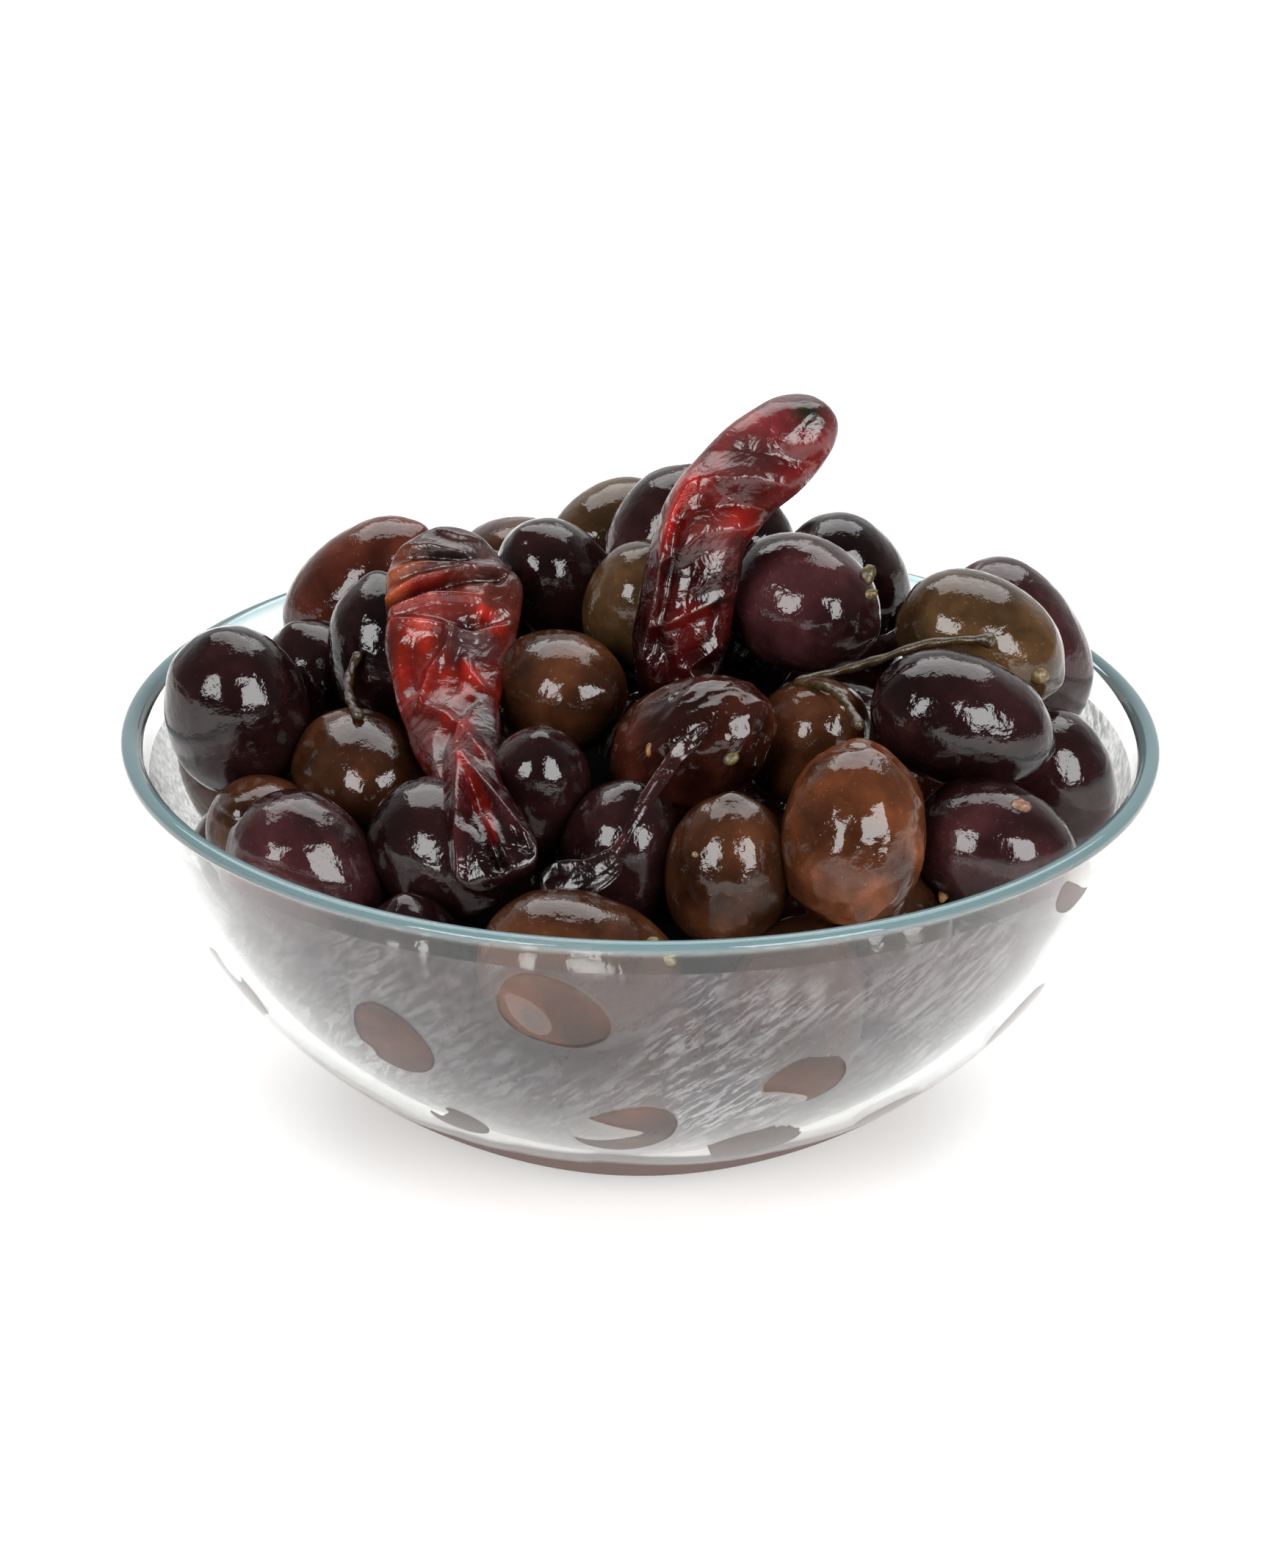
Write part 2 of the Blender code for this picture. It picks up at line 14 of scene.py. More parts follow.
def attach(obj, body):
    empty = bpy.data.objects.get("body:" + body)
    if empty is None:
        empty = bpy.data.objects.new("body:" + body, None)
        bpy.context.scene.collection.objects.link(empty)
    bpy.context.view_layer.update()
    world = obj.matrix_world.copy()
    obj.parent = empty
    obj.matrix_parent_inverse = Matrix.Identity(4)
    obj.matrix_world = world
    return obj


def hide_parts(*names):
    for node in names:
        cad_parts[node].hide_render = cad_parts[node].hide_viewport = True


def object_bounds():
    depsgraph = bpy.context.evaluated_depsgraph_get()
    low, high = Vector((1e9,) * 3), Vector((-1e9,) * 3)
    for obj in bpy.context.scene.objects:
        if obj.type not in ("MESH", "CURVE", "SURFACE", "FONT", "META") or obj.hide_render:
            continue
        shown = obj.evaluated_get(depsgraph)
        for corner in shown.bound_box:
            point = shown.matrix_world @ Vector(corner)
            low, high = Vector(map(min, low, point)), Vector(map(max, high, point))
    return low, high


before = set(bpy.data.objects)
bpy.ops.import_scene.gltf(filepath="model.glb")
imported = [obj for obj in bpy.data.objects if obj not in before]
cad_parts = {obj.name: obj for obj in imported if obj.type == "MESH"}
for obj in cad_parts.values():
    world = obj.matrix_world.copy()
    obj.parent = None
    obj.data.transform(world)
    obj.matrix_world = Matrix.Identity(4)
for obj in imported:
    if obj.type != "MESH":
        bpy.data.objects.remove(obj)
cad_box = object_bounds()

MM = 0.001

# The bowl, as in the CAD. Its side is one sweep from foot to rim, with FLARE and SHOULDER as handles
RIM_RADIUS = 70.0
HEIGHT = 56.2
FOOT_RADIUS = 25.3
FLARE = (47.7, 10.9)
SHOULDER = (65.3, 27.8)
WALL = 2.6
FLOOR = 5.2

# The smooth bowl: points up its side, steps round it, and the angles of the lip's points
SIDE_POINTS = 60
BOWL_STEPS = 160
LIP_ANGLES = range(160, 10, -15)
# The inner side starts SIDE_LIFT over the floor, which is flat to FLOOR_FLAT from it and then turns up
SIDE_LIFT = 0.3
FLOOR_FLAT = 6.0
FLOOR_TURN = 3.0
FLOOR_RISE = 0.1
FOOT_EASE = 1.2

# How far a pressed olive reaches into the wall, so that no air shows there, and stays off the floor
WALL_REACH = 0.14
FLOOR_GAP = 0.1
# The oil film: its distance from the wall, its thickness, and how far under the rim it ends
FILM_INSET = 0.10
FILM_THICK = 0.08
FILM_SHORT = 4.0
# The brine: its level, and how far it reaches into the glass
BRINE_TOP = 9.0
BRINE_REACH = 0.05

# The core: how far inside the wall it is, at which heights, its dome's radius, middle and rise, and its floor
CORE_INSET = 17.0
CORE_HEIGHTS = (34.0, 28.0, 22.0)
CORE_DOME = (42.0, 38.0, 12.0)
CORE_ANGLES = (75, 60, 45, 30, 15)
CORE_FLOOR = (12.0, 18.0)

# The heap, as in the CAD: its dome, the planes that bound it, and the olives that don't show. An olive
# counts as three balls, and END_SHARE is the radius of the end ones as a share of its width
HEAP_TOP = 82.0
HEAP_RADIUS = 69.0
WALL_PLANES = 40
DOME_PLANES = 18
DOME_FROM = 4
FREE_OLIVES = 84
FREE_LENGTH = (20.0, 25.0)
FREE_WIDTH = (15.5, 18.0)
END_SHARE = 0.4
OLIVE_BLUNT = 0.07
WALL_PRESS = 1.6

# How the olives settle, as in the CAD: they grow from START_SCALE and undo PUSH_SHARE of each overlap a
# round. A shown olive is drawn home by HELD_PULL, and one that overlaps by MOST_OVERLAP at last is left out
SEED = 7
PLACE_TRIES = 160
ROUNDS = 420
START_SCALE = 0.55
GROWN_BY = 0.6
PUSH_SHARE = 0.45
HELD_GIVE = 0.12
HELD_PULL = 0.15
SETTLE_DROP = 0.05
MOST_OVERLAP = 2.2
# Hidden olives stay LID_DEPTH under the shown ones that are within about LID_REACH
LID_REACH = 8.0
LID_DEPTH = 9.0
LID_WEIGHT = 0.25
LID_STEP = 2.0
NO_LID = 999.0
FAR_OFF = 1e9
NEAR_ZERO = 1e-9

# Olives that the photo shows, as in the CAD, with the tone of each:
# name, middle x y z, turn of the long axis seen from the front, lean towards the front, length, width
SHOWN = (
    ("A", -39.5, 27, 63.5, 48, 0, 26, 17, "red"),
    ("B", -53.5, -10, 61, 100, 10, 24, 19.5, "black"),
    ("C", -44, 12, 55.5, 90, 20, 20, 16, "black"),
    ("D", -34.5, 4, 63.5, 75, 10, 22, 16.5, "black"),
    ("E", -37, -17, 54, 5, 20, 21, 17, "brown"),
    ("F", -48, -22, 48, 30, 30, 19, 15.5, "brown"),
    ("G", -42.5, -36, 50, -20, 20, 22, 17.5, "plum"),
    ("H", -24, -36, 54.5, 20, 30, 21, 17, "black"),
    ("I", -27.8, -47.9, 40.7, 92, 15, 22.5, 15.5, "black"),
    ("J", -11.5, 14, 70.5, 120, 20, 20, 15.5, "black"),
    ("K", -11, -8, 63, 20, 40, 20, 17, "brown"),
    ("L", -13, -30, 58.5, 95, 10, 18, 14, "black"),
    ("M", -4, 34, 69.5, 30, 20, 20, 16, "green"),
    ("N", 4, 22, 73.5, 60, 30, 22, 17, "plum"),
    ("O", 0, 5, 70.5, 80, 20, 20, 16.5, "green"),
    ("P", 13, 30, 67.5, 60, 30, 20, 15.5, "black"),
    ("Q", 21.5, 0, 73, -10, 30, 22, 18, "plum"),
    ("R", 29, 26, 67, -30, 0, 21, 15.5, "black"),
    ("S", 52, 14, 62, -55, 0, 27, 17.5, "plum"),
    ("T", 45, -5, 70, -25, 10, 23.5, 17.5, "green"),
    ("U", 41.5, -24, 66.5, -20, 0, 24.5, 17, "black"),
    ("V", 55, -14, 54, -65, 10, 20, 15.5, "plum"),
    ("W", 45.5, -34, 53, -30, 20, 22, 17.5, "plum"),
    ("X", 26.5, -42, 58.5, 82, -10, 23.5, 18.5, "tan"),
    ("Y", 7, -24, 62.5, 18, 0, 25, 17.5, "wine"),
    ("Z", 22, -18, 61, 60, 20, 19, 15.5, "brown"),
    ("AA", 11, -42, 53.5, 95, -10, 20, 16, "brown"),
    ("BB", -7, -55.8, 46.1, 2, 0, 26.5, 18.5, "brown"),
    ("CC", 19.5, -48, 37.5, 88, -20, 23, 17.5, "brown"),
    ("DD", -2, -36, 53, 70, 10, 20, 16, "black"),
    ("G1", 0, -48.4, 28.4, 0, 0, 23, 16, "brown"),
    ("G2", -44, -28, 36, 60, 0, 22, 16, "black"),
    ("G3", 32, -37, 41, 80, 0, 20, 16, "brown"),
    ("G4", 42, -27, 32, 40, 0, 22, 16, "plum"),
    ("G5", 26.5, -31.5, 23, 10, 0, 21, 16, "black"),
    ("G6", -19, -38.5, 27, 30, 0, 21, 16, "black"),
    ("U1", 12.5, 12.5, 61, 40, 10, 20, 16, "black"),
)
TOP_COUNT = 30

# Tones of olive skin, as sRGB
TONES = {
    "black": "#1e0d0e",
    "plum": "#311819",
    "red": "#54261a",
    "wine": "#3a1911",
    "brown": "#3c2113",
    "tan": "#5a311c",
    "green": "#432f1c",
}
FREE_TONES = ("black", "black", "plum", "brown", "black", "plum", "green", "brown", "red", "black")
# How strongly the skin is wrinkled, by name, and for the others
WRINKLED = {"Y": 0.42, "X": 0.22, "AA": 0.12, "G": 0.1}
NEARLY_SMOOTH = 0.03

# The chili pods, as in the CAD: middle line from the stem end to the tip, half widths and half depths
FRONT = Vector((0.0, -0.915, 0.4035))
LEFT_POD = (
    ((-24.5, 6.0, 81.0), 6.0, 3.0),
    ((-25.5, 3.0, 76.5), 9.2, 3.6),
    ((-25.2, -2.0, 72.0), 9.0, 3.8),
    ((-25.8, -8.0, 67.5), 8.0, 3.6),
    ((-25.0, -15.0, 63.6), 6.6, 3.3),
    ((-23.3, -25.0, 61.9), 5.6, 3.0),
    ((-21.2, -36.0, 61.2), 4.2, 3.0),
    ((-19.0, -44.0, 59.0), 5.2, 3.0),
    ((-16.6, -51.0, 55.5), 7.0, 2.8),
)
RIGHT_POD = (
    ((3.4, -9.5, 60.0), 4.2, 4.0),
    ((4.2, -9.0, 64.5), 5.4, 4.8),
    ((5.2, -7.5, 70.7), 6.3, 5.0),
    ((6.4, -6.0, 78.0), 6.3, 5.0),
    ((8.2, -4.0, 85.1), 6.1, 4.8),
    ((12.8, -1.0, 90.8), 6.2, 4.6),
    ((19.0, 2.0, 95.5), 6.0, 4.4),
    ((23.6, 4.0, 100.2), 4.4, 3.6),
)
POD_END_POWER = 6.0

# Sides of the round meshes
NEAR_SIDES = (80, 56)
WRINKLED_SIDES = (112, 80)
FAR_SIDES = (44, 32)
POD_SIDES = (120, 200)
STEM_SIDES = (16, 80)
SHRED_SIDES = (48, 160)
BIT_SIDES = (14, 10)

# Waves of relief, each as how many, and the coarsest and finest in millimetres
BROAD_LUMPS = (5, 30.0, 16.0)
SMALL_LUMPS = (6, 10.0, 5.5)
SKIN_FOLDS = (7, 9.0, 4.0)
SKIN_CREASES = (7, 4.0, 2.0)
PATCH_EDGES = (5, 16.0, 8.0)
POD_COARSE = (8, 8.0, 4.0)
POD_FINE = (10, 3.5, 1.5)
RAGGED_EDGES = (6, 9.0, 3.0)
SHRED_FOLDS = (6, 2.4, 1.3)
SHRED_WAVES = (5, 6.0, 3.0)
SHRED_TONES = (5, 4.0, 1.5)
BIT_LUMPS = (4, 3.0, 1.5)

# The shape of an olive: its fullness and lumps as shares of its size, and its tip, dimple and scar, each as
# where along it that starts, over how much of it, and how high or pale it is
FULLNESS = 0.035
LUMP_HEIGHTS = (0.016, 0.009)
TIP = (0.93, 0.07, 0.45)
DIMPLE = (0.97, 0.03, 0.8)
SCAR = (0.985, 0.015, 1.2)
# Its wrinkles: depths of folds and creases, where they are cut off, how far they are drawn out along it, and
# how much painted shade darkens their hollows, by wrinkling and at most
FOLD_DEPTHS = (1.5, 0.7)
FOLD_CUT = 0.6
FOLD_DRAWN = 0.45
OLIVE_FOLD_PAINTED_SHADE = (1.2, 0.6)

# Where an olive is pressed against the glass by PRESSED_BY it shows this tone, by a share
PRESSED_TONE = "#5c3626"
PRESSED_SHARE = 0.5
PRESSED_BY = 0.2
# How far uneven skin stands back from the glass, and from which wave on, which gives the pressed patches
# uneven outlines
STAND_BACK = 0.45
STAND_FROM = 0.25

# How sharply a pod's torn end is cut off, and over how much it is eased down to stay under the CAD's top
TORN_POWER = 14.0
SOFT_TOP = 1.5
# How sharp a fold is, how much painted light and shade a millimetre of it gives the pod, lighter on ridges
# and darker in hollows, and within what range
CREASE_POWER = 1.25
POD_FOLD_PAINTED_SHADE = 0.5
POD_PAINTED_SHADE_RANGE = (0.3, 1.9)
# The soft edge of a patch of colour
PATCH_REACH = 1.35
PATCH_SOFT = 0.8
# A pod's fine waves as a share of its coarse ones, and what oil adds to the coarse and takes from the fine
FINE_SHARE = 0.3
OILED_COARSE = 2.4
OILED_FINE = 0.7
# The share of its length over which a pod's or a stem's direction is taken
POD_STEP = 0.03
STEM_STEP = 0.02

# A stem's knots, as height, turns along and round, where and how fast it swells, and how short its ends are
KNOTS = ((0.12, 23, 0), (0.08, 51, 2))
SWOLLEN = (0.8, 0.15)
STEM_ENDS = 16
# A shred's folds and waves in millimetres, how far the folds are drawn out, and its shades and gloss
SHRED_HEIGHTS = (0.4, 0.2)
SHRED_DRAWN = 0.16
SHRED_SHADES = (0.3, 2.4)
SHRED_WET = 0.3

# How much the table glows: painted light that lifts the shade round the bowl to the overexposed white of the
# backdrop
FLOOR_PAINTED_GLOW = 0.16
# Shares of the bowl's height: painted brown shade below FOOT_TO, clear from FOOT_FROM, aqua from RIM_FROM to
# RIM_TO
FOOT_TO = 0.267
FOOT_FROM = 0.288
RIM_FROM = 0.968
RIM_TO = 0.992

# Folds of the pods, in millimetres along and across from the stem end: height, half width, path
LEFT_CREASES = (
    (0.7, 1.4, ((1.5, -3.5), (2.4, 0.0), (1.6, 3.5))),
    (1.0, 1.7, ((6.3, -8.0), (5.6, -3.0), (6.2, 1.5))),
    (-1.0, 1.6, ((8.1, -7.5), (8.0, 0.8))),
    (1.1, 1.5, ((10.4, -9.0), (9.3, -3.0), (9.6, 2.0), (10.5, 6.5))),
    (1.5, 1.6, ((14.8, -9.5), (12.3, -4.0), (11.4, 2.0))),
    (-1.6, 1.6, ((17.0, -9.0), (14.5, -4.0), (12.8, 2.0), (12.4, 6.0))),
    (1.2, 1.4, ((18.4, -8.0), (16.0, -3.0), (16.2, 3.0))),
    (1.3, 1.5, ((20.8, -8.0), (21.4, -3.0), (22.4, 0.5), (22.8, 3.5), (19.0, 7.5))),
    (-1.2, 1.5, ((20.6, 2.2), (18.6, 7.0))),
    (1.0, 1.3, ((14.0, 4.8), (16.5, 4.0), (20.0, 3.6))),
    (1.4, 1.5, ((22.4, 0.2), (25.0, 0.6), (29.0, -1.6), (34.0, -3.2))),
    (-1.1, 2.0, ((24.5, -4.4), (30.5, -4.2))),
    (0.9, 1.3, ((27.5, 2.5), (30.5, 3.5), (33.5, 5.0))),
    (-0.8, 1.5, ((26.0, 1.8), (33.0, 1.0))),
    (1.0, 1.4, ((34.5, -3.5), (40.0, 1.0), (47.0, 3.0))),
    (-0.9, 1.5, ((36.0, 3.0), (42.0, -1.5), (48.0, -3.0))),
    (1.7, 1.5, ((48.0, 0.0), (56.0, -2.5), (65.5, -6.0))),
    (1.6, 1.5, ((48.0, 0.6), (57.0, 3.2), (66.0, 6.2))),
    (-1.5, 2.4, ((53.0, 0.4), (64.0, 0.2))),
    (1.1, 1.2, ((57.0, 0.4), (66.0, 1.8))),
    (-1.0, 1.4, ((54.0, 4.6), (63.0, 4.4))),
)
RIGHT_CREASES = (
    (0.8, 2.4, ((31.0, -6.0), (27.5, 0.0), (22.5, 5.5))),
    (-0.9, 2.4, ((35.0, -6.0), (31.0, 0.0), (27.0, 6.0))),
    (0.8, 2.2, ((39.0, -6.0), (34.5, 0.5), (31.0, 6.0))),
    (-0.7, 2.2, ((42.5, -5.0), (38.0, 1.0), (35.0, 5.5))),
    (0.8, 1.4, ((21.5, -6.0), (18.5, -0.5), (16.0, 3.5))),
    (1.2, 1.3, ((31.0, 4.9), (24.0, 4.5), (18.0, 4.3), (11.0, 4.8))),
    (-0.8, 1.4, ((28.0, 3.2), (20.0, 2.8), (12.0, 3.2))),
    (0.9, 1.7, ((15.0, -5.5), (11.0, -1.5), (7.5, -4.5))),
    (-0.9, 1.8, ((13.5, 2.0), (8.0, 0.5), (4.5, 2.5))),
)

# Patches of colour on the pods, partly the skin's own tones and partly painted light: the greyish ones a
# painted sheen, the bright red and orange ones painted light shining through the thin skin. Each is tone,
# along, across, half length, half width
LEFT_TONE_AND_LIGHT_PATCHES = (
    ("#3c2827", 5.0, 5.0, 6.0, 5.0), ("#2b1a1b", 7.5, -2.0, 2.2, 5.0), ("#85402a", 9.5, -7.0, 3.2, 3.4),
    ("#a4522e", 13.0, -8.0, 3.2, 2.6), ("#5a120e", 14.0, -3.0, 2.2, 5.0), ("#6e2622", 18.0, -3.0, 3.0, 5.5),
    ("#9c1f13", 19.5, 5.0, 1.8, 2.2), ("#a82814", 24.5, -4.0, 3.5, 2.6), ("#7a150e", 29.0, -4.0, 4.0, 2.4),
    ("#4a2f31", 24.0, 3.2, 3.5, 3.0), ("#a02014", 31.0, 2.5, 2.8, 2.6), ("#8a170f", 40.0, 1.0, 4.0, 2.2),
    ("#961a12", 56.0, 0.6, 4.5, 0.9), ("#5a1512", 47.5, -0.5, 2.5, 3.0), ("#2c1114", 42.0, 5.0, 6.0, 2.0),
)
RIGHT_TONE_AND_LIGHT_PATCHES = (
    ("#74120c", 31.5, -3.0, 2.2, 4.0), ("#4f2322", 27.0, -2.5, 3.0, 3.5), ("#562928", 36.0, 2.0, 3.5, 4.0),
    ("#80130c", 30.0, 4.5, 5.0, 2.0), ("#7a1510", 41.5, -3.0, 3.0, 2.4), ("#231f12", 46.0, 0.5, 1.8, 2.4),
    ("#400a08", 18.0, -1.0, 4.0, 5.0), ("#1c0a0a", 20.5, -3.0, 0.9, 3.0), ("#3c0909", 12.0, 1.0, 4.0, 3.0),
)
# Tones along the pods from the stem end, partly their own and partly painted light, the greyish ones a
# painted sheen and the bright reds painted light through the skin, and the shares of the length where dry
# turns to oiled
LEFT_TONE_AND_LIGHT_STOPS = ("#36201e", "#4c241c", "#581912", "#5e130d", "#4c1110", "#2e0e0f", "#1c090a")
RIGHT_TONE_AND_LIGHT_STOPS = ("#0a0303", "#140404", "#200606", "#330808", "#50120e", "#662224", "#522021")
LEFT_WET = (0.6, 0.75)
RIGHT_WET = (0.62, 0.42)

# The right stem's branch: its middle line and radius
FORK = ((19.8, -18.0, 69.0), (23.4, -22.0, 70.3), (26.1, -26.0, 69.8), (28.0, -31.0, 68.2))
FORK_RADIUS = 0.6
# Two shreds of skin: middle line, half widths and half depths
SHRED = (
    ((8.4, -33.2, 69.6), 0.8, 0.2), ((6.6, -34.6, 68.2), 1.2, 0.25), ((4.0, -36.6, 65.7), 1.2, 0.25),
    ((0.4, -42.0, 62.4), 0.8, 0.25), ((-2.3, -46.0, 58.6), 0.7, 0.25), ((-5.0, -48.5, 56.8), 1.3, 0.25),
)
LOW_SHRED = (
    ((-2.6, -48.0, 58.0), 1.6, 0.3), ((-5.5, -50.0, 56.6), 2.4, 0.35), ((-9.0, -50.5, 55.8), 2.6, 0.35),
    ((-12.0, -50.5, 55.2), 2.0, 0.3),
)
# Seeds, crumbs and scars: olive, right and up of its middle, length, width, turn, tone
BITS = (
    ("Q", 8.2, 3.6, 3.4, 2.2, 60, "#40351a"), ("Q", 8.6, 1.2, 2.2, 1.4, 20, "#544623"),
    ("T", 7.2, -4.6, 2.6, 2.4, 0, "#5c4c28"), ("T", 7.3, -4.7, 1.0, 0.9, 0, "#241a0e"),
    ("W", 2.6, 5.6, 2.8, 1.7, -10, "#6a4a38"), ("W", -6.6, -5.6, 2.6, 1.3, 70, "#704a26"),
    ("W", -8.6, -5.2, 2.0, 1.2, 60, "#46351f"), ("Y", 4.6, -1.6, 2.2, 1.7, 30, "#4f4728"),
    ("Y", -5.8, -0.6, 1.9, 1.0, 80, "#754a22"), ("BB", 8.6, 3.4, 1.8, 1.3, 20, "#51442a"),
    ("BB", 10.6, 1.6, 2.0, 1.2, -20, "#5c5038"), ("AA", -4.2, 2.0, 1.0, 0.8, 0, "#553e22"),
)

# The stems, as in the CAD
LEFT_STEM = ((-37.6, -4.5, 67.3), (-38.9, -6.0, 64.0), (-38.2, -13.0, 63.6), (-36.6, -18.0, 63.4))
RIGHT_STEM = ((19.8, -18.0, 69.2), (25.2, -15.0, 69.4), (30.5, -14.5, 70.9), (36.7, -14.5, 73.2),
              (42.8, -15.5, 74.4), (46.0, -16.0, 74.4))
STEM_RADIUS = 0.6

# The camera of the photo, and its right, up and back as directions in the part's frame
VIEW_ELEVATION = math.radians(23.8)
VIEW_ROLL = math.radians(0.7)
VIEW_DISTANCE = 0.55
VIEW_TARGET = Vector((0.0, 0.0, 0.0465))
VIEW_LENS = 92.7
SENSOR_WIDTH = 36.0
VIEW_SHIFT = -0.0015
SIGHT_RIGHT = np.array((1.0, 0.0, 0.0))
SIGHT_UP = np.array((0.0, math.sin(VIEW_ELEVATION), math.cos(VIEW_ELEVATION)))
SIGHT_BACK = np.array((0.0, -math.cos(VIEW_ELEVATION), math.sin(VIEW_ELEVATION)))


def linear(hex_colour):
    """An sRGB hex colour as linear red, green, blue."""
    made = []
    for start in (1, 3, 5):
        value = int(hex_colour[start:start + 2], 16)/255
        made.append(value/12.92 if value <= 0.04045 else ((value + 0.055)/1.055)**2.4)
    return tuple(made)


def add(tree, kind, values=None):
    """Adds a node and sets its values. A value that is another node's output is linked."""
    node = tree.nodes.new(kind)
    for key, value in (values or {}).items():
        if isinstance(value, bpy.types.NodeSocket):
            tree.links.new(value, node.inputs[key])
        elif isinstance(key, str) and hasattr(node, key):
            setattr(node, key, value)
        else:
            node.inputs[key].default_value = value
    return node


def new_material(name):
    """An empty node material, its nodes, and the object coordinates of its patterns."""
    made = bpy.data.materials.new(name)
    made.use_nodes = True
    made.node_tree.nodes.clear()
    return made, made.node_tree, add(made.node_tree, "ShaderNodeTexCoord").outputs["Object"]


def shaded(made, surface, volume=None):
    """Links a material's shaders to its output."""
    links = {"Surface": surface.outputs[0]}
    if volume:
        links["Volume"] = volume.outputs[0]
    add(made.node_tree, "ShaderNodeOutputMaterial", links)
    return made


def stored(tree, name, output="Color"):
    """A value that is stored on the mesh."""
    return add(tree, "ShaderNodeAttribute", {"attribute_name": name}).outputs[output]


def bumped(tree, strength, distance, height):
    """A normal from a height pattern, with its distance in metres."""
    values = {"Strength": strength, "Distance": distance, "Height": height}
    return add(tree, "ShaderNodeBump", values).outputs[0]


def noise_of(tree, at, scale, detail=4.0, rough=0.55, distortion=0.0):
    """A noise pattern with its scale in features a metre, so 1000 is one a millimetre."""
    values = {"Scale": scale, "Detail": detail, "Roughness": rough, "Distortion": distortion, "Vector": at}
    return add(tree, "ShaderNodeTexNoise", values).outputs["Fac"]


def ramp(tree, source, stops):
    """A colour ramp from (position, colour) stops. A number stands for a grey."""
    node = add(tree, "ShaderNodeValToRGB", {"Fac": source})
    marks = node.color_ramp.elements
    while len(marks) < len(stops):
        marks.new(0.5)
    for mark, (place, colour) in zip(marks, stops):
        mark.position = place
        mark.color = (*colour, 1.0) if isinstance(colour, tuple) else (colour, colour, colour, 1.0)
    return node.outputs["Color"]


def mix_colour(tree, factor, first, second, blend="MIX"):
    """Mixes two colours; either may be a socket or a plain colour."""
    pair = [made if isinstance(made, bpy.types.NodeSocket) else (*made, 1.0) for made in (first, second)]
    return add(tree, "ShaderNodeMix", {
        "data_type": "RGBA", "blend_type": blend, 0: factor, 6: pair[0], 7: pair[1]}).outputs[2]


def times(tree, first, second):
    """The product of two colours."""
    return mix_colour(tree, 1.0, first, second, "MULTIPLY")


def maths(tree, operation, first, second=0.0, third=0.0):
    """One Math node; each value may be a socket or a number."""
    return add(tree, "ShaderNodeMath", {"operation": operation, 0: first, 1: second, 2: third}).outputs[0]


def of_length_one(rows):
    """Each row of numbers as a direction."""
    return rows/np.linalg.norm(rows, axis=1)[:, None]


def leftward(along):
    """Directions at the left of directions in a plane."""
    return np.stack([-along[:, 1], along[:, 0]], 1)


def sweep_curve(count):
    """Points and directions of the bowl's outer side, from the foot to the rim."""
    t = np.linspace(0.0, 1.0, count)[:, None]
    a, b, c, d = (np.array(p) for p in ((FOOT_RADIUS, 0.0), FLARE, SHOULDER, (RIM_RADIUS, HEIGHT)))
    points = (1 - t)**3*a + 3*(1 - t)**2*t*b + 3*(1 - t)*t**2*c + t**3*d
    along = 3*(1 - t)**2*(b - a) + 6*(1 - t)*t*(c - b) + 3*t**2*(d - c)
    return points, of_length_one(along)


def inner_curve(count):
    """Points of the bowl's inner side, from the floor to the rim."""
    points, along = sweep_curve(count)
    inside = points + WALL*leftward(along)
    return inside[inside[:, 1] > FLOOR + SIDE_LIFT]


INNER = inner_curve(SIDE_POINTS)


def inner_radius(height):
    """The bowl's inner radius at a height above its foot."""
    return float(np.interp(height, INNER[:, 1], INNER[:, 0]))


def heap_axis(turn, lean):
    """Direction of an olive's long axis."""
    turn, lean = np.radians(turn), np.radians(lean)
    return np.stack([np.cos(turn)*np.cos(lean), -np.sin(lean), np.sin(turn)*np.cos(lean)], -1)


def half_planes():
    """The bowl's inside and the heap's domed top as half planes of radius and height."""
    side = inner_curve(WALL_PLANES)
    wall_at = np.vstack([side[:-1], [[0.0, FLOOR]]])
    wall_in = np.vstack([leftward(of_length_one(np.diff(side, axis=0))), [[0.0, 1.0]]])
    rise = HEAP_TOP - HEIGHT
    angle = np.radians(np.linspace(DOME_FROM, 90, DOME_PLANES))
    top_at = np.stack([HEAP_RADIUS*np.cos(angle), HEIGHT + rise*np.sin(angle)], 1)
    top_in = -np.stack([np.cos(angle)/HEAP_RADIUS, np.sin(angle)/rise], 1)
    return (wall_at, wall_in), (top_at, of_length_one(top_in))


def gaps(points, planes):
    """How far each point is inside each half plane."""
    at, inward = planes
    place = np.stack([np.hypot(points[:, 0], points[:, 1]), points[:, 2]], 1)
    return ((place[:, None, :] - at)*inward).sum(-1)


def push_inside(balls, radius, planes, moves, sink=0.0):
    """How far each ball has to move in radius and height to sink no deeper into the planes."""
    gap = gaps(balls, planes) - radius[:, None] + sink
    nearest = gap.argmin(1)
    short = np.minimum(gap[np.arange(len(balls)), nearest], 0.0)*moves
    return -short[:, None]*planes[1][nearest]


def lid_height(points, seen):
    """Height that hidden olives stay under, so that the shown ones stay on top."""
    apart = ((points[:, None, :2] - seen[None, :, :2])**2).sum(-1)
    weight = np.exp(-apart/(2*LID_REACH**2))
    total = weight.sum(1)
    level = (weight*seen[:, 2]).sum(1)/np.maximum(total, NEAR_ZERO) - LID_DEPTH
    return np.where(total > LID_WEIGHT, level, NO_LID)


def roomiest(chance, taken, seen, wall, top):
    """The place with most room among random ones inside the heap and under the shown olives."""
    spread = (chance.random((PLACE_TRIES, 3)) - (0.5, 0.5, 0.0))*(2*RIM_RADIUS, 2*RIM_RADIUS, HEAP_TOP)
    room = np.minimum(gaps(spread, wall).min(1), gaps(spread, top).min(1))
    room = np.minimum(room, lid_height(spread, seen) - spread[:, 2])
    near = np.linalg.norm(spread[:, None, :] - taken[None, :, :], axis=-1).min(1)
    score = np.minimum(near/2, room)
    return spread[score.argmax()]


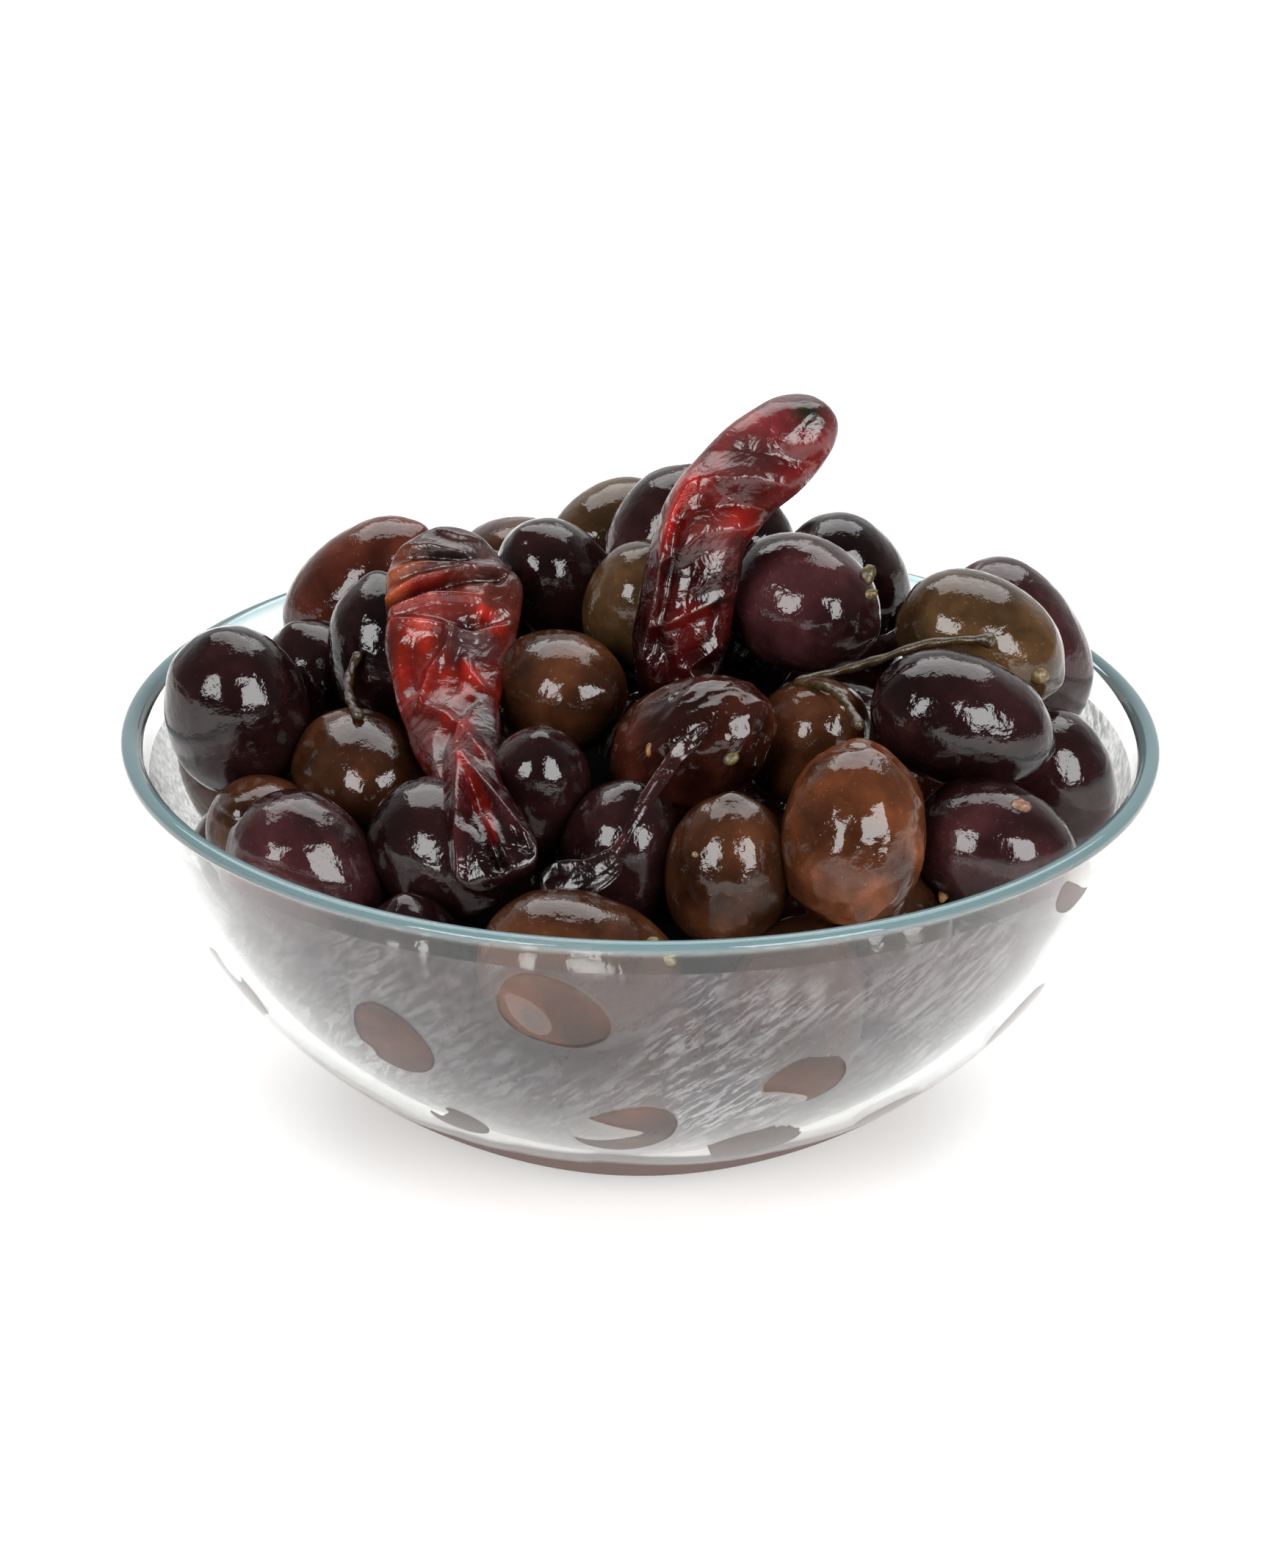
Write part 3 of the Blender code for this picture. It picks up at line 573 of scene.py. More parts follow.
def settle():
    """Lets the olives push one another apart in the bowl. The shown ones stay near their places."""
    chance = np.random.default_rng(SEED)
    held = np.array([row[1:8] for row in SHOWN], float)
    shown = len(held)
    count = shown + FREE_OLIVES
    is_free = np.arange(count) >= shown
    middle = np.zeros((count, 3))
    axis = np.zeros((count, 3))
    size = np.zeros((count, 2))
    middle[:shown] = held[:, :3]
    axis[:shown] = heap_axis(held[:, 3], held[:, 4])
    size[:shown] = held[:, 5:7]
    axis[shown:] = of_length_one(chance.normal(size=(FREE_OLIVES, 3)))
    size[shown:, 0] = chance.uniform(*FREE_LENGTH, FREE_OLIVES)
    size[shown:, 1] = chance.uniform(*FREE_WIDTH, FREE_OLIVES)
    seen = held[:TOP_COUNT, :3]
    wall, top = half_planes()
    for index in range(shown, count):
        middle[index] = roomiest(chance, middle[:index], seen, wall, top)
    home = middle.copy()
    # Olives make way for the chili pods, as rows of balls
    fixed = np.array([(*at, deep) for pod in (LEFT_POD, RIGHT_POD) for at, wide, deep in pod], float)
    owner = np.concatenate([np.repeat(np.arange(count), 3), -np.ones(len(fixed), int)])
    loose = np.where(is_free, 1.0, HELD_GIVE)
    give = np.concatenate([np.repeat(loose, 3), np.zeros(len(fixed))])
    share = give[:, None]/np.maximum(give[:, None] + give[None, :], NEAR_ZERO)
    same = owner[:, None] == owner[None, :]
    ball_free = np.repeat(is_free, 3)
    for step in range(ROUNDS):
        grown = min(1.0, START_SCALE + (1.0 - START_SCALE)*step/(GROWN_BY*ROUNDS))
        scale = np.where(is_free, grown, 1.0)
        long, wide = size[:, 0]*scale, size[:, 1]*scale
        reach = long/2 - END_SHARE*wide
        row = np.stack([-reach, 0*reach, reach], 1)[:, :, None]*axis[:, None, :]
        radii = np.stack([END_SHARE*wide, wide/2, END_SHARE*wide], 1).ravel()
        balls = np.vstack([(middle[:, None, :] + row).reshape(-1, 3), fixed[:, :3]])
        every = np.concatenate([radii, fixed[:, 3]])
        apart = balls[:, None, :] - balls[None, :, :]
        distance = np.sqrt((apart**2).sum(-1)) + NEAR_ZERO
        over = every[:, None] + every[None, :] - distance
        over[same] = 0.0
        over = np.maximum(over, 0.0)
        push = ((over*share/distance)[:, :, None]*apart).sum(1)[:3*count]
        balls = balls[:3*count] + PUSH_SHARE*push
        move = push_inside(balls, radii, wall, 1.0, WALL_PRESS)
        move += push_inside(balls, radii, top, ball_free)
        out = np.hypot(balls[:, 0], balls[:, 1]) + NEAR_ZERO
        balls[:, :2] *= (1.0 + move[:, 0]/out)[:, None]
        balls[:, 2] += move[:, 1]
        down = np.maximum(balls[:, 2] - lid_height(balls, seen), 0.0)*ball_free
        balls[:, 2] -= np.minimum(down/2, LID_STEP)
        balls = balls.reshape(count, 3, 3)
        middle = balls.mean(1)
        axis = of_length_one(balls[:, 2] - balls[:, 0])
        middle[:shown] += HELD_PULL*(home[:shown] - middle[:shown])
        middle[shown:, 2] -= SETTLE_DROP
    worst = np.zeros(count)
    np.maximum.at(worst, owner[:3*count], over[:3*count].max(1))
    keep = ~is_free | (worst < MOST_OVERLAP)
    return middle[keep], axis[keep], size[keep]


def placed(name, data):
    """An object in the scene for a mesh, a lamp or a camera."""
    made = bpy.data.objects.new(name, data)
    bpy.context.scene.collection.objects.link(made)
    return made


def finished(name, mesh, look):
    """An object for a finished mesh, smooth and riding on the part."""
    made = placed(name, mesh)
    mesh.materials.append(look)
    mesh.shade_smooth()
    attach(made, "root")
    return made


def mesh_of(name, shape):
    """A mesh from a bmesh, which it frees."""
    mesh = bpy.data.meshes.new(name)
    shape.to_mesh(mesh)
    shape.free()
    return mesh


def turned(name, profile, look):
    """A smooth solid turned about Z from a profile in millimetres that starts and ends on the axis."""
    shape = bmesh.new()
    last = None
    for radius, height in profile:
        vert = shape.verts.new((radius*MM, 0.0, height*MM))
        if last:
            shape.edges.new((last, vert))
        last = vert
    bmesh.ops.spin(shape, geom=shape.verts[:] + shape.edges[:], axis=(0, 0, 1), cent=(0, 0, 0),
                   dvec=(0, 0, 0), angle=2*math.pi, steps=BOWL_STEPS, use_merge=True, use_duplicate=False)
    bmesh.ops.remove_doubles(shape, verts=shape.verts, dist=0.000001)
    bmesh.ops.recalc_face_normals(shape, faces=shape.faces)
    return finished(name, mesh_of(name, shape), look)


def glass_material():
    """Clear pressed glass, aqua at its rim, with painted brown shade and reflection in its foot; lamps shine
    through it.
    """
    made, tree, at = new_material("aqua_glass")
    height = add(tree, "ShaderNodeSeparateXYZ", {0: at}).outputs["Z"]
    ripple = noise_of(tree, at, 55.0, 2.0, 0.5)
    bump = bumped(tree, 0.05, 0.0006, ripple)
    up = maths(tree, "MULTIPLY", height, 1/(HEIGHT*MM))
    through = ramp(tree, up, ((RIM_FROM, 1.0), (RIM_TO, 0.7)))
    tint = ramp(tree, up, ((RIM_FROM, linear("#fbfdfc")), (RIM_TO, linear("#9bc0c5"))))
    glass = add(tree, "ShaderNodeBsdfPrincipled", {
        "IOR": 1.43, "Roughness": 0.012, "Base Color": tint, "Transmission Weight": through, "Normal": bump})
    # Painted shade and reflection: a matt brown in the foot stands in for the shaded floor and olives that
    # the foot would show
    painted_foot_shade = add(tree, "ShaderNodeBsdfDiffuse", {"Color": (*linear("#66534f"), 1.0)})
    foot = ramp(tree, maths(tree, "MULTIPLY_ADD", noise_of(tree, at, 60.0, 3.0), 0.09, up), (
        (FOOT_TO, 0.88), (FOOT_FROM, 0.0)))
    based = add(tree, "ShaderNodeMixShader", {0: foot, 1: glass.outputs[0], 2: painted_foot_shade.outputs[0]})
    clear = add(tree, "ShaderNodeBsdfTransparent", {"Color": (*linear("#ecf2f1"), 1.0)})
    path = add(tree, "ShaderNodeLightPath")
    mix = add(tree, "ShaderNodeMixShader", {
        0: path.outputs["Is Shadow Ray"], 1: based.outputs[0], 2: clear.outputs[0]})
    body = add(tree, "ShaderNodeVolumeAbsorption", {"Color": (*linear("#bcd8d5"), 1.0), "Density": 9.0})
    return shaded(made, mix, body)


def film_material():
    """The film of oil and brine inside the glass: a grey veil, combed paler streaks, and brown marks high up.
    """
    made, tree, at = new_material("oil_film")
    place = add(tree, "ShaderNodeSeparateXYZ", {0: at})
    turn = maths(tree, "ARCTAN2", place.outputs["Y"], place.outputs["X"])
    wrapped = add(tree, "ShaderNodeCombineXYZ", {
        0: maths(tree, "MULTIPLY", turn, 0.06), 1: place.outputs["Z"]})
    turned_by = add(tree, "ShaderNodeMapping", {
        "Rotation": (0.0, 0.0, -0.75), "Vector": wrapped.outputs[0]}).outputs[0]
    slanted = add(tree, "ShaderNodeMapping", {"Scale": (0.22, 1.0, 1.0), "Vector": turned_by}).outputs[0]
    up = maths(tree, "MULTIPLY", place.outputs["Z"], 1/(HEIGHT*MM))
    broad = noise_of(tree, at, 42.0, 3.0, 0.5, 0.8)
    combed = noise_of(tree, slanted, 1000.0, 4.0, 0.7, 0.5)
    speckle = noise_of(tree, at, 1100.0, 3.0, 0.6)
    low = ramp(tree, up, ((0.25, 1.0), (0.42, 0.8), (0.62, 0.4), (0.95, 0.2)))
    patchy = ramp(tree, broad, ((0.4, 0.15), (0.58, 1.0)))
    lines = ramp(tree, combed, ((0.47, 0.0), (0.56, 1.0)))
    grain = ramp(tree, speckle, ((0.36, 0.5), (0.62, 1.0)))
    streaks = maths(tree, "MULTIPLY", maths(tree, "MULTIPLY", low, patchy), lines)
    veil = maths(tree, "MULTIPLY", maths(tree, "MULTIPLY_ADD", patchy, 0.06, 0.24), grain)
    high = ramp(tree, up, ((0.78, 0.0), (0.9, 1.0)))
    # Brown marks near the top of the inner side
    brown_mark_pattern = ramp(tree, noise_of(tree, turned_by, 130.0, 4.0, 0.6, 1.0), ((0.6, 0.0), (0.68, 0.5)))
    high_brown_marks = maths(tree, "MULTIPLY", high, brown_mark_pattern)
    cover = maths(tree, "ADD", maths(tree, "MULTIPLY_ADD", streaks, 0.9, veil), high_brown_marks)
    colour = mix_colour(tree, streaks, linear("#48353b"), linear("#aca5a7"))
    colour = mix_colour(tree, high_brown_marks, colour, linear("#4a3626"))
    bump = bumped(tree, 0.4, 0.0002, combed)
    oil = add(tree, "ShaderNodeBsdfPrincipled", {
        "Roughness": 0.5, "Specular IOR Level": 0.2, "Base Color": colour, "Normal": bump})
    clear = add(tree, "ShaderNodeBsdfTransparent")
    mix = add(tree, "ShaderNodeMixShader", {0: cover, 1: clear.outputs[0], 2: oil.outputs[0]})
    return shaded(made, mix)


def olive_material():
    """Oiled olive skin: each olive's own tone, brown where it shows through, with pores."""
    made, tree, at = new_material("olive_skin")
    broad = noise_of(tree, at, 75.0, 3.0, 0.5, 0.5)
    cloud = noise_of(tree, at, 330.0, 4.0, 0.6, 0.6)
    fine = noise_of(tree, at, 620.0, 3.0, 0.55)
    pores = noise_of(tree, at, 2100.0, 2.0, 0.5)
    patch = ramp(tree, broad, ((0.32, 0.3), (0.48, 0.7), (0.66, 1.45)))
    mottle = ramp(tree, cloud, ((0.35, 0.8), (0.65, 1.12)))
    specks = ramp(tree, pores, ((0.66, 1.0), (0.74, 2.2)))
    colour = times(tree, times(tree, times(tree, stored(tree, "tone"), patch), mottle), specks)
    rough = ramp(tree, cloud, ((0.35, 0.045), (0.7, 0.11)))
    wet = noise_of(tree, at, 210.0, 2.0, 0.5, 0.4)
    height = maths(tree, "MULTIPLY_ADD", pores, 0.22, fine)
    height = maths(tree, "MULTIPLY_ADD", wet, 2.6, height)
    bump = bumped(tree, 0.75, 0.00013, height)
    skin = add(tree, "ShaderNodeBsdfPrincipled", {
        "IOR": 1.48, "Specular IOR Level": 0.4, "Base Color": colour, "Roughness": rough, "Normal": bump})
    return shaded(made, skin)


def core_material():
    """The dark inside of the heap, painted shade that shows between the olives."""
    made, tree, at = new_material("painted_shade_core")
    # Painted shade: near-black, so that the gaps between the olives read as deep shade
    shade = ramp(tree, noise_of(tree, at, 200.0), ((0.3, linear("#080404")), (0.7, linear("#120a08"))))
    skin = add(tree, "ShaderNodeBsdfPrincipled", {
        "Roughness": 0.9, "Specular IOR Level": 0.1, "Base Color": shade})
    return shaded(made, skin)


def brine_material():
    """The murky brine and oil that has run to the bottom of the bowl."""
    made, tree, at = new_material("brine")
    cloud = noise_of(tree, at, 90.0, 3.0, 0.5)
    colour = ramp(tree, cloud, ((0.35, linear("#54403d")), (0.65, linear("#6b5450"))))
    pool = add(tree, "ShaderNodeBsdfPrincipled", {"Roughness": 0.08, "IOR": 1.4, "Base Color": colour})
    return shaded(made, pool)


def chili_material():
    """Dried chili skin: a thin red membrane, dull and greyish where dry, glossy where oiled."""
    made, tree, at = new_material("chili_skin")
    wet = stored(tree, "wet", "Fac")
    broad = noise_of(tree, at, 130.0, 3.0, 0.55, 0.6)
    fine = noise_of(tree, at, 900.0, 4.0, 0.6, 0.5)
    soft = noise_of(tree, at, 260.0, 3.0, 0.5, 0.8)
    patch = ramp(tree, broad, ((0.36, 0.35), (0.52, 0.62), (0.66, 1.1)))
    colour = times(tree, stored(tree, "tone"), patch)
    dull = ramp(tree, soft, ((0.3, 0.13), (0.7, 0.24)))
    oiled = ramp(tree, fine, ((0.3, 0.05), (0.7, 0.11)))
    rough = mix_colour(tree, wet, dull, oiled)
    height = maths(tree, "MULTIPLY_ADD", soft, 3.2, maths(tree, "MULTIPLY", fine, 0.45))
    bump = bumped(tree, 0.7, 0.00022, height)
    skin = add(tree, "ShaderNodeBsdfPrincipled", {
        "IOR": 1.5, "Specular IOR Level": 0.42, "Base Color": colour, "Roughness": rough, "Normal": bump})
    return shaded(made, skin)


def woody_material():
    """Dry brown stems, seeds and scars, each with its own tone and a fine grain."""
    made, tree, at = new_material("stem_wood")
    grain = noise_of(tree, at, 1500.0, 4.0, 0.6)
    shade = ramp(tree, grain, ((0.3, 0.4), (0.5, 1.0), (0.72, 1.8)))
    colour = times(tree, stored(tree, "tone"), shade)
    bump = bumped(tree, 0.6, 0.0002, grain)
    wood = add(tree, "ShaderNodeBsdfPrincipled", {"Roughness": 0.28, "Base Color": colour, "Normal": bump})
    return shaded(made, wood)


def floor_material():
    """A plain pale table that glows a little, painted light that lifts the shade round the bowl."""
    made, tree, at = new_material("pale_table")
    tint = ramp(tree, noise_of(tree, at, 2.0), ((0.0, linear("#f3f2f1")), (1.0, linear("#f6f5f4"))))
    top = add(tree, "ShaderNodeBsdfPrincipled", {
        "Roughness": 0.7, "Emission Strength": FLOOR_PAINTED_GLOW, "Base Color": tint, "Emission Color": tint})
    return shaded(made, top)


def unit_sphere(sides):
    """A unit sphere as a mesh from bmesh, with its points as an array."""
    shape = bmesh.new()
    bmesh.ops.create_uvsphere(shape, u_segments=sides[0], v_segments=sides[1], radius=1.0)
    mesh = mesh_of("unit", shape)
    points = np.empty(3*len(mesh.vertices))
    mesh.vertices.foreach_get("co", points)
    return mesh, points.reshape(-1, 3)


def store(mesh, points, tones, wet=None):
    """Puts points in millimetres and their tones on a mesh."""
    mesh.vertices.foreach_set("co", (points*MM).ravel())
    colours = np.ones((len(points), 4))
    colours[:, :3] = np.clip(tones, 0.0, 1.0)
    layer = mesh.color_attributes.new(name="tone", type="FLOAT_COLOR", domain="POINT")
    layer.data.foreach_set("color", colours.ravel())
    if wet is not None:
        gloss = mesh.attributes.new("wet", "FLOAT", "POINT")
        gloss.data.foreach_set("value", np.clip(wet, 0.0, 1.0))
    mesh.update()


def waves(points, seed, count, coarse, fine):
    """Smooth random relief from -1 to 1 at points, with features from coarse to fine in millimetres."""
    chance = np.random.default_rng(seed)
    total = np.zeros(len(points))
    for _ in range(count):
        way = chance.normal(size=3)
        way /= np.linalg.norm(way)
        length = chance.uniform(fine, coarse)
        bend = np.sin(points @ chance.normal(size=3)/coarse + chance.uniform(0, 6))
        total += np.sin(2*math.pi*(points @ way)/length + chance.uniform(0, 6.3) + 0.8*bend)
    return total/count**0.5/1.5


def joined(title, parts, look):
    """One piece from parts, each a mesh with its points and tones."""
    shape = bmesh.new()
    for mesh, _, _ in parts:
        shape.from_mesh(mesh)
    whole = mesh_of(title, shape)
    store(whole, np.vstack([points for _, points, _ in parts]), np.vstack([tones for _, _, tones in parts]))
    return finished(title, whole, look)


def make_bowl():
    """The glass bowl, smooth, in place of the CAD's faceted one."""
    outside, _ = sweep_curve(SIDE_POINTS)
    inside = inner_curve(SIDE_POINTS)[:-1]
    middle = RIM_RADIUS - WALL/2
    lip = [(middle + WALL/2*math.cos(turn), HEIGHT - WALL/2 + WALL/2*math.sin(turn))
           for turn in map(math.radians, LIP_ANGLES)]
    edge = inside[0][0]
    floor = [(0.0, FLOOR), (edge - FLOOR_FLAT, FLOOR), (edge - FLOOR_TURN, FLOOR + FLOOR_RISE)]
    foot = [(FOOT_RADIUS - FOOT_EASE, 0.0), (0.0, 0.0)]
    profile = np.vstack([floor, inside, lip, outside[:-1][::-1], foot])
    bowl = turned("glass_bowl", profile, glass_material())
    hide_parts("bowl")


def make_film():
    """The film on the bowl's inner side, a thin closed skin."""
    side = inner_curve(SIDE_POINTS)
    inward = leftward(of_length_one(np.gradient(side, axis=0)))
    outer = side + FILM_INSET*inward
    inner = side + (FILM_INSET + FILM_THICK)*inward
    keep = side[:, 1] < HEIGHT - FILM_SHORT
    low, high = [(0.0, FLOOR + FILM_INSET)], [(0.0, FLOOR + FILM_INSET + FILM_THICK)]
    profile = np.vstack([high, inner[keep], outer[keep][::-1], low])
    film = turned("oil_film", profile, film_material())


def make_brine():
    """A shallow pool in the bottom of the bowl, reaching just into the glass."""
    side = inner_curve(SIDE_POINTS)
    wet = side[side[:, 1] < BRINE_TOP]
    profile = [(0.0, FLOOR - BRINE_REACH)] + [(r + BRINE_REACH, z - BRINE_REACH) for r, z in wet]
    profile += [(inner_radius(BRINE_TOP) + BRINE_REACH, BRINE_TOP), (0.0, BRINE_TOP)]
    pool = turned("brine", profile, brine_material())


def olive_verts(unit, name, middle, axis, size, tone, seed):
    """Points and tones of one olive: drawn out, lumpy, wrinkled with painted shade in its folds, and pressed
    flat against the glass.
    """
    turn = np.array(Vector(axis).to_track_quat("Z", "Y").to_matrix())
    wide, long = size[1]/2, size[0]/2
    z = np.clip(unit[:, 2], -1.0, 1.0)
    ring = 1.0 - z*z
    fuller = 1.0 + FULLNESS*(1.0 - np.abs(2.0*ring - 1.0))
    body = unit*(wide, wide, long)
    lump = 1.0 + LUMP_HEIGHTS[0]*waves(body, seed, *BROAD_LUMPS)
    lump += LUMP_HEIGHTS[1]*waves(body, seed + 500, *SMALL_LUMPS)
    blunt = (1.0 - OLIVE_BLUNT*z)*fuller*lump
    tip = TIP[2]*np.maximum(0.0, (z - TIP[0])/TIP[1])**2
    dimple = DIMPLE[2]*np.maximum(0.0, (-z - DIMPLE[0])/DIMPLE[1])**1.5
    local = np.stack([body[:, 0]*blunt, body[:, 1]*blunt, body[:, 2]*lump], 1)
    local[:, 2] += tip + dimple
    wrinkle = WRINKLED.get(name, NEARLY_SMOOTH)
    drawn = body*(1.0, 1.0, FOLD_DRAWN)
    folds = np.abs(waves(drawn, seed + 900, *SKIN_FOLDS))
    creases = np.abs(waves(drawn, seed + 950, *SKIN_CREASES))
    depth = FOLD_DEPTHS[0]*np.minimum(folds, FOLD_CUT) + FOLD_DEPTHS[1]*np.minimum(creases, FOLD_CUT)
    away = of_length_one(local)
    spot = (local - away*(wrinkle*depth)[:, None] + 0.5*wrinkle*away) @ turn.T + middle
    out = np.hypot(spot[:, 0], spot[:, 1]) + NEAR_ZERO
    back = np.maximum(0.0, waves(spot, seed + 700, *PATCH_EDGES) - STAND_FROM)
    reach = WALL_REACH - STAND_BACK*back
    inside = np.interp(spot[:, 2], INNER[:, 1], INNER[:, 0])
    limit = np.where(spot[:, 2] < HEIGHT, inside + reach, FAR_OFF)
    pressed = np.clip((out - limit)/PRESSED_BY, 0.0, 1.0)
    spot[:, :2] *= np.minimum(1.0, limit/out)[:, None]
    spot[:, 2] = np.maximum(spot[:, 2], FLOOR + FLOOR_GAP)
    base = np.array(linear(TONES[tone]))
    # Painted shade: the folds of wrinkled skin are darker
    deep = 1.0 - np.minimum(OLIVE_FOLD_PAINTED_SHADE[1], OLIVE_FOLD_PAINTED_SHADE[0]*wrinkle)*np.minimum(1.0, folds)
    scar = np.clip((-z - SCAR[0])/SCAR[1], 0.0, 1.0)
    colour = base*(deep*(1.0 + SCAR[2]*scar))[:, None]
    flat = np.array(linear(PRESSED_TONE))
    return spot, colour + (flat - colour)*(PRESSED_SHARE*pressed)[:, None]


def make_olives():
    """All olives, in a few pieces, in place of the CAD's heap."""
    middle, axis, size = settle()
    look = olive_material()
    shown = len(SHOWN)
    near, wrinkled = unit_sphere(NEAR_SIDES), unit_sphere(WRINKLED_SIDES)
    far = unit_sphere(FAR_SIDES)
    every, half = range(len(middle)), shown//2
    groups = [("olives_left", every[:half]), ("olives_right", every[half:shown]),
              ("olives_back", every[shown::2]), ("olives_within", every[shown + 1::2])]
    for title, members in groups:
        parts = []
        for index in members:
            name = SHOWN[index][0] if index < shown else ""
            tone = SHOWN[index][8] if index < shown else FREE_TONES[index % len(FREE_TONES)]
            nearest = wrinkled if name in WRINKLED else near
            mesh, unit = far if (index >= shown) else nearest
            made = olive_verts(unit, name, middle[index], axis[index], size[index], tone, index + 1)
            parts.append((mesh, *made))
        piece = joined(title, parts, look)
    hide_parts("olives")
    return {row[0]: (middle[n], axis[n], size[n]) for n, row in enumerate(SHOWN)}


def make_core():
    """A dark core well inside the olives, painted shade for the gaps between them."""
    radius, middle, rise = CORE_DOME
    profile = [(0.0, middle + rise)]
    for angle in CORE_ANGLES:
        turn = math.radians(angle)
        profile.append((radius*math.cos(turn), middle + rise*math.sin(turn)))
    for height in CORE_HEIGHTS:
        profile.append((inner_radius(height) - CORE_INSET, height))
    profile += [CORE_FLOOR, (0.0, CORE_FLOOR[1])]
    core = turned("heap_core", profile[::-1], core_material())


def smooth_along(rows, t):
    """Smooth values at each t from 0 to 1 along rows of numbers (Catmull-Rom)."""
    rows = np.asarray(rows, float)
    spot = np.clip(np.asarray(t, float), 0.0, 1.0)*(len(rows) - 1)
    index = np.minimum(spot.astype(int), len(rows) - 2)
    part = (spot - index)[..., None]
    before = rows[np.maximum(index - 1, 0)]
    start, end = rows[index], rows[index + 1]
    after = rows[np.minimum(index + 2, len(rows) - 1)]
    a = 2*start
    b = (end - before)*part
    c = (2*before - 5*start + 4*end - after)*part**2
    d = (3*start - before - 3*end + after)*part**3
    return (a + b + c + d)/2


def crease_relief(creases, along, across):
    """Height of folds at places on a pod: each crease is (height, width, ((along, across), ...))."""
    total = np.zeros(len(along))
    for height, width, path in creases:
        nearest = np.full(len(along), FAR_OFF)
        for (a0, c0), (a1, c1) in zip(path, path[1:]):
            step = np.array((a1 - a0, c1 - c0))
            off = np.stack([along - a0, across - c0], 1)
            part = np.clip(off @ step/(step @ step), 0.0, 1.0)
            nearest = np.minimum(nearest, np.linalg.norm(off - part[:, None]*step, axis=1))
        total += height*np.maximum(0.0, 1.0 - nearest/width)**CREASE_POWER
    return total


def patches_of(base, patches, along, across):
    """Lays soft-edged patches of colour, (tone, along, across, half length, half width), on base tones."""
    tones = base.copy()
    for tone, a, c, long, wide in patches:
        apart = np.sqrt(((along - a)/long)**2 + ((across - c)/wide)**2)
        share = np.clip(PATCH_REACH - apart, 0.0, 1.0)**PATCH_SOFT
        tones += (np.array(linear(tone)) - tones)*share[:, None]
    return tones


def around_line(line, unit, step):
    """Where each point of a unit sphere goes: share of a line, angle round it, middle, side and front."""
    t = np.arccos(np.clip(-unit[:, 2], -1.0, 1.0))/math.pi
    angle = np.arctan2(unit[:, 1], unit[:, 0])
    ahead = smooth_along(line, t + step) - smooth_along(line, t - step)
    side = of_length_one(np.cross(np.array(FRONT), ahead))
    return t, angle, smooth_along(line, t), side, of_length_one(np.cross(ahead, side))


def strap(rows, unit, relief, tip_power, ragged):
    """A flattened pod or shred along rows of (middle, half width, half depth), with relief on it."""
    line = np.array([at for at, wide, deep in rows], float)
    widths = np.array([[wide, deep] for at, wide, deep in rows], float)
    length = np.linalg.norm(np.diff(line, axis=0), axis=1).sum()
    t, angle, at, side, front = around_line(line, unit, POD_STEP)
    power = np.where(t < 0.5, POD_END_POWER, tip_power)
    ends = np.sqrt(np.maximum(0.0, 1.0 - np.abs(2*t - 1)**power))
    edge = np.stack([t*length, 3.0*np.sign(np.cos(angle)), 0*t], 1)
    uneven = 1.0 + ragged*waves(edge, 77, *RAGGED_EDGES)
    size = smooth_along(widths, t)*(ends*uneven)[:, None]
    across = size[:, 0]*np.cos(angle)
    along = t*length
    lifted = size[:, 1]*np.sin(angle) + relief(along, across)*ends
    return at + side*across[:, None] + front*lifted[:, None], along, across, t


def ellipsoid_front(middle, axis, size, right, up):
    """The point of an olive nearest the camera, at offsets right and up in the picture."""
    start = np.array(middle) + right*SIGHT_RIGHT + up*SIGHT_UP
    offset = start - np.array(middle)
    half = np.array(size)/2
    squeeze = np.eye(3)/half[1]**2 + np.outer(axis, axis)*(1/half[0]**2 - 1/half[1]**2)
    a = SIGHT_BACK @ squeeze @ SIGHT_BACK
    b = 2*offset @ squeeze @ SIGHT_BACK
    c = offset @ squeeze @ offset - 1.0
    reach = (-b + math.sqrt(max(0.0, b*b - 4*a*c)))/(2*a)
    return start + reach*SIGHT_BACK


def make_pod(title, node, rows, creases, patches, stops, wet_from, rough_by, look):
    """One chili pod with its folds and painted light and shade along them, in place of the CAD's plain one.
    """
    mesh, unit = unit_sphere(POD_SIDES)
    length = sum(math.dist(a[0], b[0]) for a, b in zip(rows, rows[1:]))

    def wetness(part):
        return np.clip((part - wet_from[0])/(wet_from[1] - wet_from[0]), 0.0, 1.0)

    def relief(along, across):
        place = np.stack([along, across, 0*along], 1)
        wet = wetness(along/length)
        coarse = (1.0 + OILED_COARSE*wet)*waves(place, 41, *POD_COARSE)
        fine = FINE_SHARE*(1.0 - OILED_FINE*wet)*waves(place, 43, *POD_FINE)
        return rough_by*(coarse + fine) + crease_relief(creases, along, across)

    points, along, across, t = strap(rows, unit, relief, TORN_POWER, 0.05)
    above = np.maximum(0.0, points[:, 2] - cad_box[1][2]/MM + SOFT_TOP)
    points[:, 2] -= above - SOFT_TOP*np.tanh(above/SOFT_TOP)
    base = smooth_along([linear(stop) for stop in stops], t)
    tones = patches_of(base, patches, along, across)
    # Painted light and shade: lighter on the folds' ridges, darker in their hollows
    shade = 1.0 + POD_FOLD_PAINTED_SHADE*crease_relief(creases, along, across)
    store(mesh, points, tones*np.clip(shade, *POD_PAINTED_SHADE_RANGE)[:, None], wetness(t))
    pod = finished(title, mesh, look)
    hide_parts(node)


